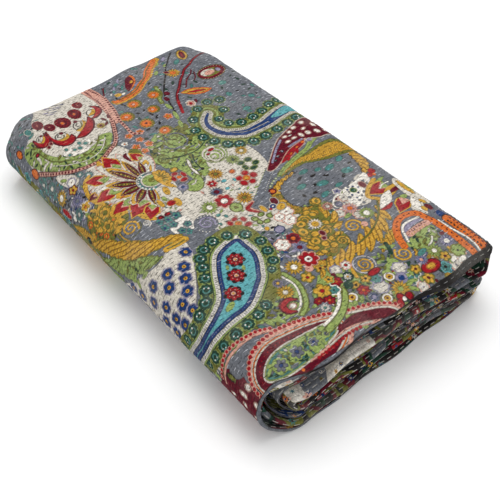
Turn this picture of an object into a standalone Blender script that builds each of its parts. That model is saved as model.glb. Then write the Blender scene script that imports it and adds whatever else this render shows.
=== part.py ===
"""A kantha quilt, folded for a shelf.

One quilted cotton sheet with hemmed edges. It goes back and forth in four layers along the block, and
that packet is then folded over twice across it, so the block is four plies of four layers. The long
front side (-Y) is the big round fold that holds them together. The hems and the middle loops of the
plies show at the right end (+X). Metres, +Z up, the origin under the middle of the block.
"""
import math

import bmesh
import bpy

# ---- the folded block ----
LENGTH = 0.570
WIDTH = 0.331
HEIGHT = 0.090
CLOTH = 0.0025              # two layers of cotton and their quilting
FRONT_CORNER = {"in": 0.017, "over": 0.050}     # how far the ends draw back at the round fold
BACK_CORNER = {"in": 0.007, "over": 0.022}      # and at the back

# ---- plies, from the hem at the bottom on: distance of their layers, and +1 if the first is lowest ----
PLIES = {
    "bottom": {"pitch": 0.0048, "way": +1},
    "top": {"pitch": 0.0062, "way": -1},
    "second": {"pitch": 0.0058, "way": +1},
    "third": {"pitch": 0.0050, "way": -1},
}
ROUTE = ("bottom", "top", "second", "third")
LAYERS = 4
MIDDLE = (LAYERS - 1) / 2   # the packet's middle, counted in layers

# ---- where the plies turn and end across the block (y) ----
INNER_FOLD_DEPTH = 0.036    # from the round fold's outside to the inner one's
BOTTOM_HEM_INSET = 0.004
THIRD_HEM_INSET = 0.012

# ---- reach of the ends along the block, in mm past half its length ----
# columns: bottom ply, outer turn, top ply, far turn, second ply, inner turn, third ply
ENDS = {
    "first hem": {"side": +1, "reach": (-1.0, 2.0, 0.0, -2.0, -4.0, -5.0, -6.0)},
    "outer loop": {"side": -1, "reach": (0.0, -1.0, 0.0, -3.0, -5.0, -6.0, -3.0)},
    "middle loop": {"side": +1, "reach": (-3.0, -12.0, -6.0, -3.0, 0.0, -4.0, -2.0)},
    "inner loop": {"side": -1, "reach": (-6.0, -8.0, -5.0, -3.0, -2.0, -4.0, -7.0)},
    "last hem": {"side": +1, "reach": (-7.0, -16.0, -9.0, -7.0, -7.0, -8.0, -5.0)},
}
END_NAMES = tuple(ENDS)
LOOP_DEPTH = 1.4            # of a loop, over half its height
LOOP_FULLNESS = 0.5         # 0 is an ellipse, more is a fuller loop with a blunter tip
# the two ends in plan, at the bottom and at the top of the block: reach halfway across it, how much
# more that is at the back than at the front, and how far the corners stand out
PLAN = {
    +1: (
        {"halfway": -0.0085, "skew": 0.000, "bow": 0.030},
        {"halfway": -0.0085, "skew": 0.018, "bow": 0.000},
    ),
    -1: (
        {"halfway": -0.0040, "skew": 0.011, "bow": 0.000},
        {"halfway": -0.0040, "skew": 0.019, "bow": 0.000},
    ),
}
# waves of the ends across the block: height, length, shift for each end, shift for each ply
WAVES = (
    {"high": 0.0022, "long": 0.210, "end": 0.17, "ply": 0.31},
    {"high": 0.0012, "long": 0.083, "end": 0.41, "ply": 0.13},
)

# ---- how the stack has settled: metres it sinks at the top, where along x, and how it fades below ----
STIFF_BASE = 0.010          # the lowest layers lie flat
SAGS = (
    {"drop": 0.017, "side": -1, "start": 0.210, "end": 0.291, "fade": 1.5},
    {"drop": 0.004, "side": +1, "start": 0.240, "end": 0.289, "fade": 1.3},
    {"drop": 0.006, "side": +1, "start": 0.266, "end": 0.289, "fade": 3.0},
)
FRONT_SAG = {"drop": 0.006, "x": (0.150, 0.285), "y": (0.020, 0.160)}
SWELL = {"high": 0.0015, "x": 0.41, "y": 0.37}
LAYER_WAVE = {"high": 0.0009, "z": 0.030, "x": 0.26, "y": 0.19}

# ---- how finely the cloth is divided ----
FLAT_STEPS = (0.0, 0.03, 0.09, 0.22, 0.5, 0.78, 0.91, 0.97, 1.0)
LOOP_STEPS = 6
TURN_STEPS = {1: 9, 3: 6, 5: 5}
ACROSS_STEPS = (0.0, 0.14, 0.32, 0.5, 0.68, 0.86, 1.0)

COTTON = {"colour": (0.42, 0.40, 0.36, 1.0), "roughness": 0.92, "metallic": 0.0}


def mix(low, high, share):
    return low + (high - low) * share


def ease(share):
    share = min(max(share, 0.0), 1.0)
    return share * share * (3 - 2 * share)


def ease_between(value, low, high):
    return ease((value - low) / (high - low))


def ply_centres():
    """Height of the middle of each ply, with equal gaps between the plies."""
    thick = {name: (LAYERS - 1) * row["pitch"] + CLOTH for name, row in PLIES.items()}
    gap = (HEIGHT - sum(thick.values())) / (len(PLIES) - 1)
    centres, level = {}, 0.0
    for name in ("bottom", "third", "second", "top"):
        centres[name] = level + thick[name] / 2
        level += thick[name] + gap
    return centres


CENTRES = ply_centres()


def half_packet(name):
    return MIDDLE * PLIES[name]["pitch"] + CLOTH / 2


def turn_radius(below, above):
    return abs(CENTRES[above] - CENTRES[below]) / 2


OUTER_TURN_Y = -WIDTH / 2 + HEIGHT / 2
FAR_TURN_Y = WIDTH / 2 - turn_radius("second", "top") - half_packet("top")
INNER_TURN_Y = -WIDTH / 2 + INNER_FOLD_DEPTH + turn_radius("third", "second")

# the packet's way across the block: even rows run flat in a ply, odd rows turn from one ply to the next
ACROSS = (
    {"from": WIDTH / 2 - BOTTOM_HEM_INSET, "to": OUTER_TURN_Y},
    {"centre": OUTER_TURN_Y, "side": -1, "first_layer_outside": True},
    {"from": OUTER_TURN_Y, "to": FAR_TURN_Y},
    {"centre": FAR_TURN_Y, "side": +1, "first_layer_outside": True},
    {"from": FAR_TURN_Y, "to": INNER_TURN_Y},
    {"centre": INNER_TURN_Y, "side": -1, "first_layer_outside": False},
    {"from": INNER_TURN_Y, "to": WIDTH / 2 - THIRD_HEM_INSET},
)


def across(row, share, layer):
    """Place of a layer of the packet in the block's section, as (y, z)."""
    step = ACROSS[row]
    name = ROUTE[row // 2]
    if row % 2 == 0:
        offset = PLIES[name]["way"] * (layer - MIDDLE) * PLIES[name]["pitch"]
        return mix(step["from"], step["to"], share), CENTRES[name] + offset
    after = ROUTE[row // 2 + 1]
    outward = MIDDLE - layer if step["first_layer_outside"] else layer - MIDDLE
    pitch = mix(PLIES[name]["pitch"], PLIES[after]["pitch"], ease(share))
    radius = turn_radius(name, after) + outward * pitch
    angle = (share - 0.5) * math.pi
    climb = math.copysign(1.0, CENTRES[after] - CENTRES[name])
    middle = (CENTRES[name] + CENTRES[after]) / 2
    return step["centre"] + step["side"] * radius * math.cos(angle), middle + climb * radius * math.sin(angle)


def ply_pitch(row, share):
    name = ROUTE[row // 2]
    if row % 2 == 0:
        return PLIES[name]["pitch"]
    return mix(PLIES[name]["pitch"], PLIES[ROUTE[row // 2 + 1]]["pitch"], ease(share))


def reach(values, row, share):
    """Reach of an end at a place across the cloth, eased from ply to turn to ply."""
    if row % 2 == 0:
        return values[row]
    if share < 0.5:
        return mix(values[row - 1], values[row], ease(2 * share))
    return mix(values[row], values[row + 1], ease(2 * share - 1))


def corner_recess(y):
    """How far the ends draw back where the block's plan is rounded."""
    corner = FRONT_CORNER if y < 0 else BACK_CORNER
    return corner["in"] * ease_between(abs(y), WIDTH / 2 - corner["over"], WIDTH / 2)


def plan_reach(row, width_share):
    return row["halfway"] + row["skew"] * width_share + row["bow"] * width_share ** 2


def end_x(name, row, share, y, z):
    """Where a hem or a loop ends along the block."""
    end = ENDS[name]
    number = END_NAMES.index(name)
    out = LENGTH / 2 + 0.001 * reach(end["reach"], row, share) - corner_recess(y)
    for wave in WAVES:
        turns = y / wave["long"] + wave["end"] * number + wave["ply"] * (row + share)
        out += wave["high"] * math.sin(2 * math.pi * turns)
    low, high = (plan_reach(row, y / WIDTH) for row in PLAN[end["side"]])
    out += mix(low, high, z / HEIGHT)
    return end["side"] * out


def along(part, step, row, share):
    """A point of the cloth: part 0..6 along it (even: a layer, odd: a loop) and row 0..6 across it."""
    depth = LOOP_DEPTH * ply_pitch(row, share) / 2
    if part % 2 == 1:
        fuller = 1 + LOOP_FULLNESS * math.sin(math.pi * step) ** 2
        layer = part / 2 - 0.5 * math.cos(math.pi * step) * fuller
        y, z = across(row, share, layer)
        x = end_x(END_NAMES[(part + 1) // 2], row, share, y, z)
        return x + math.copysign(depth, x) * (math.sin(math.pi * step) - 1), y, z
    number = part // 2
    y, z = across(row, share, number)
    start = end_x(END_NAMES[number], row, share, y, z)
    stop = end_x(END_NAMES[number + 1], row, share, y, z)
    if number > 0:
        start -= math.copysign(depth, start)
    if number < LAYERS - 1:
        stop -= math.copysign(depth, stop)
    return mix(start, stop, step), y, z


def settle(x, y, z):
    """The stack's own unevenness: the ends sag, the top swells and the layers open and close."""
    up = min(max((z - STIFF_BASE) / (HEIGHT - STIFF_BASE), 0.0), 1.0)
    sink = 0.0
    for sag in SAGS:
        sink += sag["drop"] * ease_between(sag["side"] * x, sag["start"], sag["end"]) * up ** sag["fade"]
    sink += FRONT_SAG["drop"] * ease_between(x, *FRONT_SAG["x"]) * ease_between(-y, *FRONT_SAG["y"]) * up
    swell = math.sin(2 * math.pi * (x / SWELL["x"] + 0.1)) * math.sin(2 * math.pi * (y / SWELL["y"] + 0.3))
    sink += SWELL["high"] * (swell + 1) / 2 * up
    wave = math.sin(2 * math.pi * (z / LAYER_WAVE["z"] + x / LAYER_WAVE["x"] + y / LAYER_WAVE["y"]))
    inside = ease_between(up, 0.05, 0.25) * (1 - ease_between(up, 0.75, 0.92))
    return x, y, z - sink + LAYER_WAVE["high"] * wave * inside


def stations(flat_steps, turn_steps):
    """(row, share) pairs along one direction of the cloth: seven rows, flat and turning by turns."""
    places = [(0, 0.0)]
    for row in range(2 * LAYERS - 1):
        shares = flat_steps[1:] if row % 2 == 0 else [(i + 1) / turn_steps[row] for i in range(turn_steps[row])]
        places += [(row, share) for share in shares]
    return places


def fold_cloth():
    """The middle surface of the cloth, folded: a grid whose points are laid in the fold."""
    lengthways = stations(FLAT_STEPS, {1: LOOP_STEPS, 3: LOOP_STEPS, 5: LOOP_STEPS})
    crossways = stations(ACROSS_STEPS, TURN_STEPS)
    cells_x, cells_y = len(lengthways) - 1, len(crossways) - 1
    cloth = bmesh.new()
    bmesh.ops.create_grid(cloth, x_segments=cells_x, y_segments=cells_y, size=1.0)
    for point in cloth.verts:
        part, step = lengthways[round((point.co.x + 1) / 2 * cells_x)]
        row, share = crossways[round((point.co.y + 1) / 2 * cells_y)]
        point.co = settle(*along(part, step, row, share))
    xs = [point.co.x for point in cloth.verts]
    ys = [point.co.y for point in cloth.verts]
    middle = ((min(xs) + max(xs)) / 2, (min(ys) + max(ys)) / 2, 0.0)
    bmesh.ops.translate(cloth, verts=cloth.verts, vec=[-v for v in middle])
    bmesh.ops.recalc_face_normals(cloth, faces=cloth.faces)
    return cloth


def cotton():
    material = bpy.data.materials.new("printed cotton")
    material.use_nodes = True
    shader = material.node_tree.nodes["Principled BSDF"]
    shader.inputs["Base Color"].default_value = COTTON["colour"]
    shader.inputs["Roughness"].default_value = COTTON["roughness"]
    shader.inputs["Metallic"].default_value = COTTON["metallic"]
    return material


def make_quilt():
    mesh = bpy.data.meshes.new("quilt")
    cloth = fold_cloth()
    cloth.to_mesh(mesh)
    cloth.free()
    mesh.shade_smooth()
    quilt = bpy.data.objects.new("quilt", mesh)
    quilt.data.materials.append(cotton())
    bpy.context.scene.collection.objects.link(quilt)
    body = quilt.modifiers.new("thickness of the cloth", "SOLIDIFY")
    body.thickness = CLOTH
    body.offset = 0.0
    return quilt


def main():
    for thing in list(bpy.data.objects):
        bpy.data.objects.remove(thing)
    make_quilt()


main()
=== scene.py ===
"""Looks of a folded kantha quilt: two layers of printed cotton held by running stitches, in a plain studio.

The whole cloth is one thin folded body. Where its printed face shows most, the face cotton is laid over it
as fine strips that hold the print, motif by motif, and the puckers between the rows of stitches.
Metres, unless a name or a comment says mm. The print is drawn in mm on the cloth laid flat: x along the
block, v across it (v is y on top of the block, and goes on down the round fold and over the back).
"""
import math

import bmesh
import bpy
import numpy as np
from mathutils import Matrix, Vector


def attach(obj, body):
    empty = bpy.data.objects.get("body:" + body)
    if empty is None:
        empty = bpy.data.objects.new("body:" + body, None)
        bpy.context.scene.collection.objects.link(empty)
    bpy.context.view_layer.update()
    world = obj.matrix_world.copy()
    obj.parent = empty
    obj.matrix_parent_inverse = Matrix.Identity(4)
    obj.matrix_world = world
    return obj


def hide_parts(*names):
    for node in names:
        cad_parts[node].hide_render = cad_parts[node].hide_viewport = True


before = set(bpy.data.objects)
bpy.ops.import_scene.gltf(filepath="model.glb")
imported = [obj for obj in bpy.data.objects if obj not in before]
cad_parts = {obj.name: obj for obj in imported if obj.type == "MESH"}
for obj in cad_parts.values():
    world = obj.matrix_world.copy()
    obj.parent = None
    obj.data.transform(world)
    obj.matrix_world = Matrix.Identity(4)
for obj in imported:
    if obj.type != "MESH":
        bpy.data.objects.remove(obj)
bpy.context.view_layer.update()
MM = 0.001                  # in metres

# ================================================================ the fold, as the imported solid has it
LENGTH = 0.570
WIDTH = 0.331
HEIGHT = 0.090
CLOTH = 0.0025
FRONT_CORNER = {"in": 0.017, "over": 0.050}
BACK_CORNER = {"in": 0.007, "over": 0.022}
PLIES = {
    "bottom": {"pitch": 0.0048, "way": +1},
    "top": {"pitch": 0.0062, "way": -1},
    "second": {"pitch": 0.0058, "way": +1},
    "third": {"pitch": 0.0050, "way": -1},
}
ROUTE = ("bottom", "top", "second", "third")
LAYERS = 4
MIDDLE = (LAYERS - 1) / 2
INNER_FOLD_DEPTH = 0.036
BOTTOM_HEM_INSET = 0.004
THIRD_HEM_INSET = 0.012
# how far the ends reach, in mm: bottom ply, outer turn, top ply, far turn, second ply, inner turn, third ply
ENDS = {
    "first hem": {"side": +1, "reach": (-1.0, 2.0, 0.0, -2.0, -4.0, -5.0, -6.0)},
    "outer loop": {"side": -1, "reach": (0.0, -1.0, 0.0, -3.0, -5.0, -6.0, -3.0)},
    "middle loop": {"side": +1, "reach": (-3.0, -12.0, -6.0, -3.0, 0.0, -4.0, -2.0)},
    "inner loop": {"side": -1, "reach": (-6.0, -8.0, -5.0, -3.0, -2.0, -4.0, -7.0)},
    "last hem": {"side": +1, "reach": (-7.0, -16.0, -9.0, -7.0, -7.0, -8.0, -5.0)},
}
END_NAMES = tuple(ENDS)
LOOP_DEPTH = 1.4
LOOP_FULLNESS = 0.5
PLAN = {
    +1: (
        {"halfway": -0.0085, "skew": 0.000, "bow": 0.030},
        {"halfway": -0.0085, "skew": 0.018, "bow": 0.000},
    ),
    -1: (
        {"halfway": -0.0040, "skew": 0.011, "bow": 0.000},
        {"halfway": -0.0040, "skew": 0.019, "bow": 0.000},
    ),
}
WAVES = (
    {"high": 0.0022, "long": 0.210, "end": 0.17, "ply": 0.31},
    {"high": 0.0012, "long": 0.083, "end": 0.41, "ply": 0.13},
)
STIFF_BASE = 0.010
SAGS = (
    {"drop": 0.017, "side": -1, "start": 0.210, "end": 0.291, "fade": 1.5},
    {"drop": 0.004, "side": +1, "start": 0.240, "end": 0.289, "fade": 1.3},
    {"drop": 0.006, "side": +1, "start": 0.266, "end": 0.289, "fade": 3.0},
)
FRONT_SAG = {"drop": 0.006, "x": (0.150, 0.285), "y": (0.020, 0.160)}
SWELL = {"high": 0.0015, "x": 0.41, "y": 0.37}
LAYER_WAVE = {"high": 0.0009, "z": 0.030, "x": 0.26, "y": 0.19}


def mix(low, high, share):
    return low + (high - low) * share


def ease(share):
    share = np.clip(share, 0.0, 1.0)
    return share * share * (3 - 2 * share)


def ease_between(value, low, high):
    return ease((value - low) / (high - low))


def ply_centres():
    """Height of the middle of each ply, with equal gaps between the plies."""
    thick = {name: (LAYERS - 1) * row["pitch"] + CLOTH for name, row in PLIES.items()}
    gap = (HEIGHT - sum(thick.values())) / (len(PLIES) - 1)
    centres, level = {}, 0.0
    for name in ("bottom", "third", "second", "top"):
        centres[name] = level + thick[name] / 2
        level += thick[name] + gap
    return centres


CENTRES = ply_centres()


def half_packet(name):
    return MIDDLE * PLIES[name]["pitch"] + CLOTH / 2


def turn_radius(below, above):
    return abs(CENTRES[above] - CENTRES[below]) / 2


OUTER_TURN_Y = -WIDTH / 2 + HEIGHT / 2
FAR_TURN_Y = WIDTH / 2 - turn_radius("second", "top") - half_packet("top")
INNER_TURN_Y = -WIDTH / 2 + INNER_FOLD_DEPTH + turn_radius("third", "second")
ACROSS = (
    {"from": WIDTH / 2 - BOTTOM_HEM_INSET, "to": OUTER_TURN_Y},
    {"centre": OUTER_TURN_Y, "side": -1, "first_layer_outside": True},
    {"from": OUTER_TURN_Y, "to": FAR_TURN_Y},
    {"centre": FAR_TURN_Y, "side": +1, "first_layer_outside": True},
    {"from": FAR_TURN_Y, "to": INNER_TURN_Y},
    {"centre": INNER_TURN_Y, "side": -1, "first_layer_outside": False},
    {"from": INNER_TURN_Y, "to": WIDTH / 2 - THIRD_HEM_INSET},
)


def across(row, share, layer):
    """Place of a layer of the packet in the block's section, as (y, z)."""
    step = ACROSS[row]
    name = ROUTE[row // 2]
    if row % 2 == 0:
        offset = PLIES[name]["way"] * (layer - MIDDLE) * PLIES[name]["pitch"]
        return mix(step["from"], step["to"], share) + 0.0 * layer, CENTRES[name] + offset
    after = ROUTE[row // 2 + 1]
    outward = MIDDLE - layer if step["first_layer_outside"] else layer - MIDDLE
    pitch = mix(PLIES[name]["pitch"], PLIES[after]["pitch"], ease(share))
    radius = turn_radius(name, after) + outward * pitch
    angle = (share - 0.5) * math.pi
    climb = math.copysign(1.0, CENTRES[after] - CENTRES[name])
    z = (CENTRES[name] + CENTRES[after]) / 2 + climb * radius * math.sin(angle)
    return step["centre"] + step["side"] * radius * math.cos(angle), z


def ply_pitch(row, share):
    name = ROUTE[row // 2]
    if row % 2 == 0:
        return PLIES[name]["pitch"]
    return mix(PLIES[name]["pitch"], PLIES[ROUTE[row // 2 + 1]]["pitch"], ease(share))


def reach(values, row, share):
    """Reach of an end at a place across the cloth, eased from ply to turn to ply."""
    if row % 2 == 0:
        return values[row]
    if share < 0.5:
        return mix(values[row - 1], values[row], ease(2 * share))
    return mix(values[row], values[row + 1], ease(2 * share - 1))


def corner_recess(y):
    """How far the ends draw back where the block's plan is rounded."""
    front = FRONT_CORNER["in"] * ease_between(-y, WIDTH / 2 - FRONT_CORNER["over"], WIDTH / 2)
    back = BACK_CORNER["in"] * ease_between(y, WIDTH / 2 - BACK_CORNER["over"], WIDTH / 2)
    return front + back


def plan_reach(row, width_share):
    return row["halfway"] + row["skew"] * width_share + row["bow"] * width_share ** 2


def end_x(name, row, share, y, z):
    """Where a hem or a loop ends along the block."""
    end = ENDS[name]
    number = END_NAMES.index(name)
    out = LENGTH / 2 + MM * reach(end["reach"], row, share) - corner_recess(y)
    for wave in WAVES:
        turns = y / wave["long"] + wave["end"] * number + wave["ply"] * (row + share)
        out = out + wave["high"] * np.sin(2 * math.pi * turns)
    low, high = (plan_reach(plan, y / WIDTH) for plan in PLAN[end["side"]])
    return end["side"] * (out + mix(low, high, z / HEIGHT))


def along(part, step, row, share):
    """Points of the cloth: part 0..6 along it (even: a layer, odd: a loop) and row 0..6 across it."""
    depth = LOOP_DEPTH * ply_pitch(row, share) / 2
    if part % 2 == 1:
        fuller = 1 + LOOP_FULLNESS * np.sin(math.pi * step) ** 2
        y, z = across(row, share, part / 2 - 0.5 * np.cos(math.pi * step) * fuller)
        x = end_x(END_NAMES[(part + 1) // 2], row, share, y, z)
        return np.stack([x + np.sign(x) * depth * (np.sin(math.pi * step) - 1), y, z], -1)
    number = part // 2
    y, z = across(row, share, number + 0.0 * step)
    start = end_x(END_NAMES[number], row, share, y, z)
    stop = end_x(END_NAMES[number + 1], row, share, y, z)
    if number > 0:
        start = start - np.sign(start) * depth
    if number < LAYERS - 1:
        stop = stop - np.sign(stop) * depth
    return np.stack([mix(start, stop, step), y, z], -1)


def settle(points):
    """The stack's own unevenness: the ends sag, the top swells and the layers open and close."""
    x, y, z = points[..., 0], points[..., 1], points[..., 2]
    up = np.clip((z - STIFF_BASE) / (HEIGHT - STIFF_BASE), 0.0, 1.0)
    sink = 0.0
    for sag in SAGS:
        out = ease_between(sag["side"] * x, sag["start"], sag["end"])
        sink = sink + sag["drop"] * out * up ** sag["fade"]
    out = ease_between(x, *FRONT_SAG["x"]) * ease_between(-y, *FRONT_SAG["y"])
    sink = sink + FRONT_SAG["drop"] * out * up
    swell = np.sin(2 * math.pi * (x / SWELL["x"] + 0.1)) * np.sin(2 * math.pi * (y / SWELL["y"] + 0.3))
    sink = sink + SWELL["high"] * (swell + 1) / 2 * up
    wave = np.sin(2 * math.pi * (z / LAYER_WAVE["z"] + x / LAYER_WAVE["x"] + y / LAYER_WAVE["y"]))
    inside = ease_between(up, 0.05, 0.25) * (1 - ease_between(up, 0.75, 0.92))
    return np.stack([x, y, z - sink + LAYER_WAVE["high"] * wave * inside], -1)


def lay_flat(lengthways, crossways):
    """Points [crossways, lengthways] of the cloth before the stack settles. A place is part + step there,
    and row + share across, so 2.25 is a quarter along the third stretch."""
    last = 2 * LAYERS - 2
    parts = np.minimum(lengthways.astype(int), last)
    rows = []
    for place in crossways:
        row = min(int(place), last)
        rows.append(np.concatenate([along(part, lengthways[parts == part] - part, row, place - row)
                                    for part in np.unique(parts)]))
    return np.array(rows)


def box_middle(points):
    """Where the middle of the folded block lies in x and y."""
    flat = points[..., :2].reshape(-1, 2)
    return np.append((flat.min(0) + flat.max(0)) / 2, 0.0)


def outward(points):
    """Unit normals of a sheet of points that face out where the first layer is outside."""
    normal = np.cross(np.gradient(points, axis=0), np.gradient(points, axis=1))
    return normal / np.maximum(np.linalg.norm(normal, axis=-1, keepdims=True), 1e-12)


def soft_noise(a, b, seed):
    """Smooth unevenness from -1 to 1 over two coordinates, the same each time."""
    size = 61
    table = np.random.default_rng(seed).uniform(-1, 1, (size, size))
    i, j = np.floor(a).astype(int), np.floor(b).astype(int)
    f, g = ease(a - i), ease(b - j)
    near = mix(table[i % size, j % size], table[(i + 1) % size, j % size], f)
    far = mix(table[i % size, (j + 1) % size], table[(i + 1) % size, (j + 1) % size], f)
    return mix(near, far, g)


# ================================================================ the inks and the drawing kit
INKS = {
    "slate": (108, 111, 118),
    "cream": (214, 207, 194),
    "white": (238, 232, 221),
    "burgundy": (96, 10, 32),
    "red": (158, 24, 34),
    "orange": (214, 110, 42),
    "pink": (214, 160, 142),
    "gold": (204, 158, 60),
    "olive": (112, 112, 48),
    "lime": (148, 166, 94),
    "green": (34, 64, 50),
    "aqua": (98, 168, 174),
    "teal": (76, 128, 122),
    "navy": (32, 60, 112),
    "lavender": (146, 140, 164),
    "charcoal": (34, 31, 31),
}
INK_NAMES = tuple(INKS)
FAR = 4.0                   # mm from an edge, past which an ink's depth no longer counts
NOWHERE = 99.0              # mm, farther than anything on the cloth
PATH_STEP = 2.5             # mm between the points of a path
THINNEST = 0.1              # mm, half the narrowest band
END_STEPS = 15              # of a turn round a band's end


class Print:
    """The face print: how deep in each ink every point of the cloth lies, in mm, below 0 outside it."""

    def __init__(self, x, v):
        self.x, self.v = x, v
        self.depth = np.full((len(INKS),) + x.shape, -FAR, np.float32)
        self.barbs = np.zeros(x.shape, np.float32)
        self.line = np.zeros(x.shape, np.float32)

    def window(self, x_low, x_high, v_low, v_high):
        """The part of the grid that covers a rectangle of cloth and FAR round it."""
        first, last = np.searchsorted(self.v, (v_low - FAR, v_high + FAR))
        if first < last:
            here = self.x[first:last]
            columns = np.flatnonzero((here.min(0) <= x_high + FAR) & (here.max(0) >= x_low - FAR))
            if len(columns):
                return slice(first, last), slice(columns[0], columns[-1] + 1)
        return slice(0, 0), slice(0, 0)

    def around(self, x, v, size):
        """The window round a place, and how far its points are from there in x and in v."""
        where = self.window(x - size, x + size, v - size, v + size)
        return where, self.x[where] - x, self.v[where[0], None] - v

    def lay(self, ink, where, depth, line=0.0, barbs=0.0):
        """Print an ink where its depth is above 0, with how dark its rim is and its fine lines' course."""
        depth = np.clip(depth, -FAR, FAR).astype(np.float32)
        inks = self.depth[(slice(None),) + where]
        own = np.maximum(inks[INK_NAMES.index(ink)], depth)
        np.minimum(inks, -depth, out=inks)
        inks[INK_NAMES.index(ink)] = own
        self.line[where] = np.where(depth > 0, line, self.line[where])
        self.barbs[where] = np.where(depth > 0, barbs, self.barbs[where])

    def lay_coats(self, where, depth, coats, line):
        """Coats of ink from the outside in, each as (mm that it grows, ink)."""
        for grown, ink in coats:
            self.lay(ink, where, depth + grown, line)


def smooth_path(knots, closed=False):
    """Points every PATH_STEP mm on a smooth curve through the knots."""
    knots = np.array(knots, float)
    if closed:
        ring = np.vstack([knots[-1], knots, knots[:2]])
    else:
        ring = np.vstack([2 * knots[0] - knots[1], knots, 2 * knots[-1] - knots[-2]])
    pieces = []
    for before, start, stop, after in zip(ring, ring[1:], ring[2:], ring[3:]):
        count = max(int(np.hypot(*(stop - start)[:2]) / PATH_STEP), 1)
        t = (np.arange(count) / count)[:, None]
        squared = (2 * before - 5 * start + 4 * stop - after) * t ** 2
        cubed = (3 * start - before - 3 * stop + after) * t ** 3
        pieces.append(start + ((stop - before) * t + (squared + cubed)) / 2)
    return np.vstack(pieces if closed else pieces + [knots[-1:]])


class Band:
    """A band of varying width along a curve of (x, v, half width) knots: its window on the cloth, and
    there its depth, the distance run along it and how far to its side each point lies."""

    def __init__(self, cloth, knots, outside=0.0):
        path = smooth_path(knots)
        path[:, 2] = np.maximum(path[:, 2], THINNEST)
        reach = path[:, 2:] + outside
        (x_low, v_low), (x_high, v_high) = (path[:, :2] - reach).min(0), (path[:, :2] + reach).max(0)
        self.where = cloth.window(x_low, x_high, v_low, v_high)
        depth = np.full(cloth.x.shape, -NOWHERE)
        along, side = np.zeros(cloth.x.shape), np.zeros(cloth.x.shape)
        run = 0.0
        for start, stop in zip(path, path[1:]):
            wide = max(start[2], stop[2]) + outside
            low, high = np.minimum(start, stop) - wide, np.maximum(start, stop) + wide
            where = cloth.window(low[0], high[0], low[1], high[1])
            a, b = cloth.x[where] - start[0], cloth.v[where[0], None] - start[1]
            dx, dv = (stop - start)[:2]
            length = math.hypot(dx, dv) or 1e-6
            share = np.clip((a * dx + b * dv) / length ** 2, 0.0, 1.0)
            here = mix(start[2], stop[2], share) - np.hypot(a - share * dx, b - share * dv)
            better = here > depth[where]
            depth[where][better] = here[better]
            along[where][better] = (run + share * length)[better]
            side[where][better] = ((a * dv - b * dx) / length)[better]
            run += length
        self.depth, self.along, self.side = depth[self.where], along[self.where], side[self.where]


def area_depth(cloth, knots, out=0.0):
    """A patch with a smooth closed rim through (x, v) knots, as its window, out mm wider, and its depth."""
    rim = smooth_path(knots, closed=True)
    (x_low, v_low), (x_high, v_high) = rim.min(0) - out, rim.max(0) + out
    where = cloth.window(x_low, x_high, v_low, v_high)
    x = cloth.x[where]
    v = np.broadcast_to(cloth.v[where[0], None], x.shape)
    gap, inside = np.full(x.shape, NOWHERE), np.zeros(x.shape, bool)
    for start, stop in zip(rim, np.roll(rim, -1, 0)):
        dx, dv = stop - start
        share = np.clip(((x - start[0]) * dx + (v - start[1]) * dv) / (dx * dx + dv * dv + 1e-9), 0.0, 1.0)
        gap = np.minimum(gap, np.hypot(x - start[0] - share * dx, v - start[1] - share * dv))
        crossed = (start[1] > v) != (stop[1] > v)
        inside ^= crossed & (x < start[0] + dx * (v - start[1]) / (dv or 1e-9))
    return where, np.where(inside, gap, -gap)


def paces(path, start, pitch, back=0.5, ahead=0.5):
    """Rows (x, v, heading in degrees) every pitch mm along a path, the first at start."""
    run = np.append(0.0, np.cumsum(np.hypot(*np.diff(path, axis=0).T)))
    at = np.arange(start, run[-1], pitch)
    behind, here, beyond = (np.stack([np.interp(at + far, run, path[:, i]) for i in (0, 1)])
                            for far in (-back, 0.0, ahead))
    return np.vstack([here, np.degrees(np.arctan2(*(beyond - behind)[::-1]))]).T


def outline_places(knots, out, pitch):
    """Places every pitch mm round a band's edge, out mm off it, as (x, v, heading in degrees)."""
    path = smooth_path(knots)
    heading = np.arctan2(*np.gradient(path[:, :2], axis=0).T[::-1])
    square = math.pi / 2
    fan = np.linspace(square, -square, END_STEPS)
    turn = np.concatenate([heading + square, heading[-1] + fan, heading[::-1] - square,
                           heading[0] + math.pi + fan])
    base = np.vstack([path, np.repeat(path[-1:], END_STEPS, 0), path[::-1],
                      np.repeat(path[:1], END_STEPS, 0)])
    rim = base[:, :2] + (base[:, 2:] + out) * np.stack([np.cos(turn), np.sin(turn)], -1)
    rim = rim[np.abs(band_depth(rim, path) + out) < 0.7]
    places = paces(rim, 0.0, pitch, 0.0, 1.0)
    return places[np.abs(band_depth(places[:, :2], path) + out) < 1.2]


def band_depth(points, path):
    """Depth of a few points in a band, by its nearest stretch."""
    start, span = path[:-1], np.diff(path, axis=0)
    away = points[:, None, :] - start[None, :, :2]
    share = np.clip((away * span[None, :, :2]).sum(-1) / ((span[:, :2] ** 2).sum(-1) + 1e-9), 0.0, 1.0)
    gap = np.linalg.norm(away - share[..., None] * span[None, :, :2], axis=-1)
    return (start[:, 2] + share * span[:, 2] - gap).max(1)


def rim_places(rim, out, pitch):
    """Places every pitch mm round a patch, out mm off its rim, as (x, v, heading in degrees)."""
    path = smooth_path(rim, closed=True)
    heading = np.gradient(np.vstack([path[-1:], path, path[:1]]), axis=0)[1:-1]
    heading /= np.linalg.norm(heading, axis=1, keepdims=True)
    ahead = np.roll(path, -1, 0)
    way = np.sign((path[:, 0] * ahead[:, 1] - ahead[:, 0] * path[:, 1]).sum())
    places = paces(path + out * way * heading[:, ::-1] * (1, -1), 0.0, pitch)
    gaps = np.linalg.norm(places[:, None, :2] - path[None], axis=-1)
    return places[gaps.min(1) > abs(out) - 0.8]


def turned(a, b, degrees):
    c, s = math.cos(math.radians(degrees)), math.sin(math.radians(degrees))
    return a * c + b * s, b * c - a * s


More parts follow.
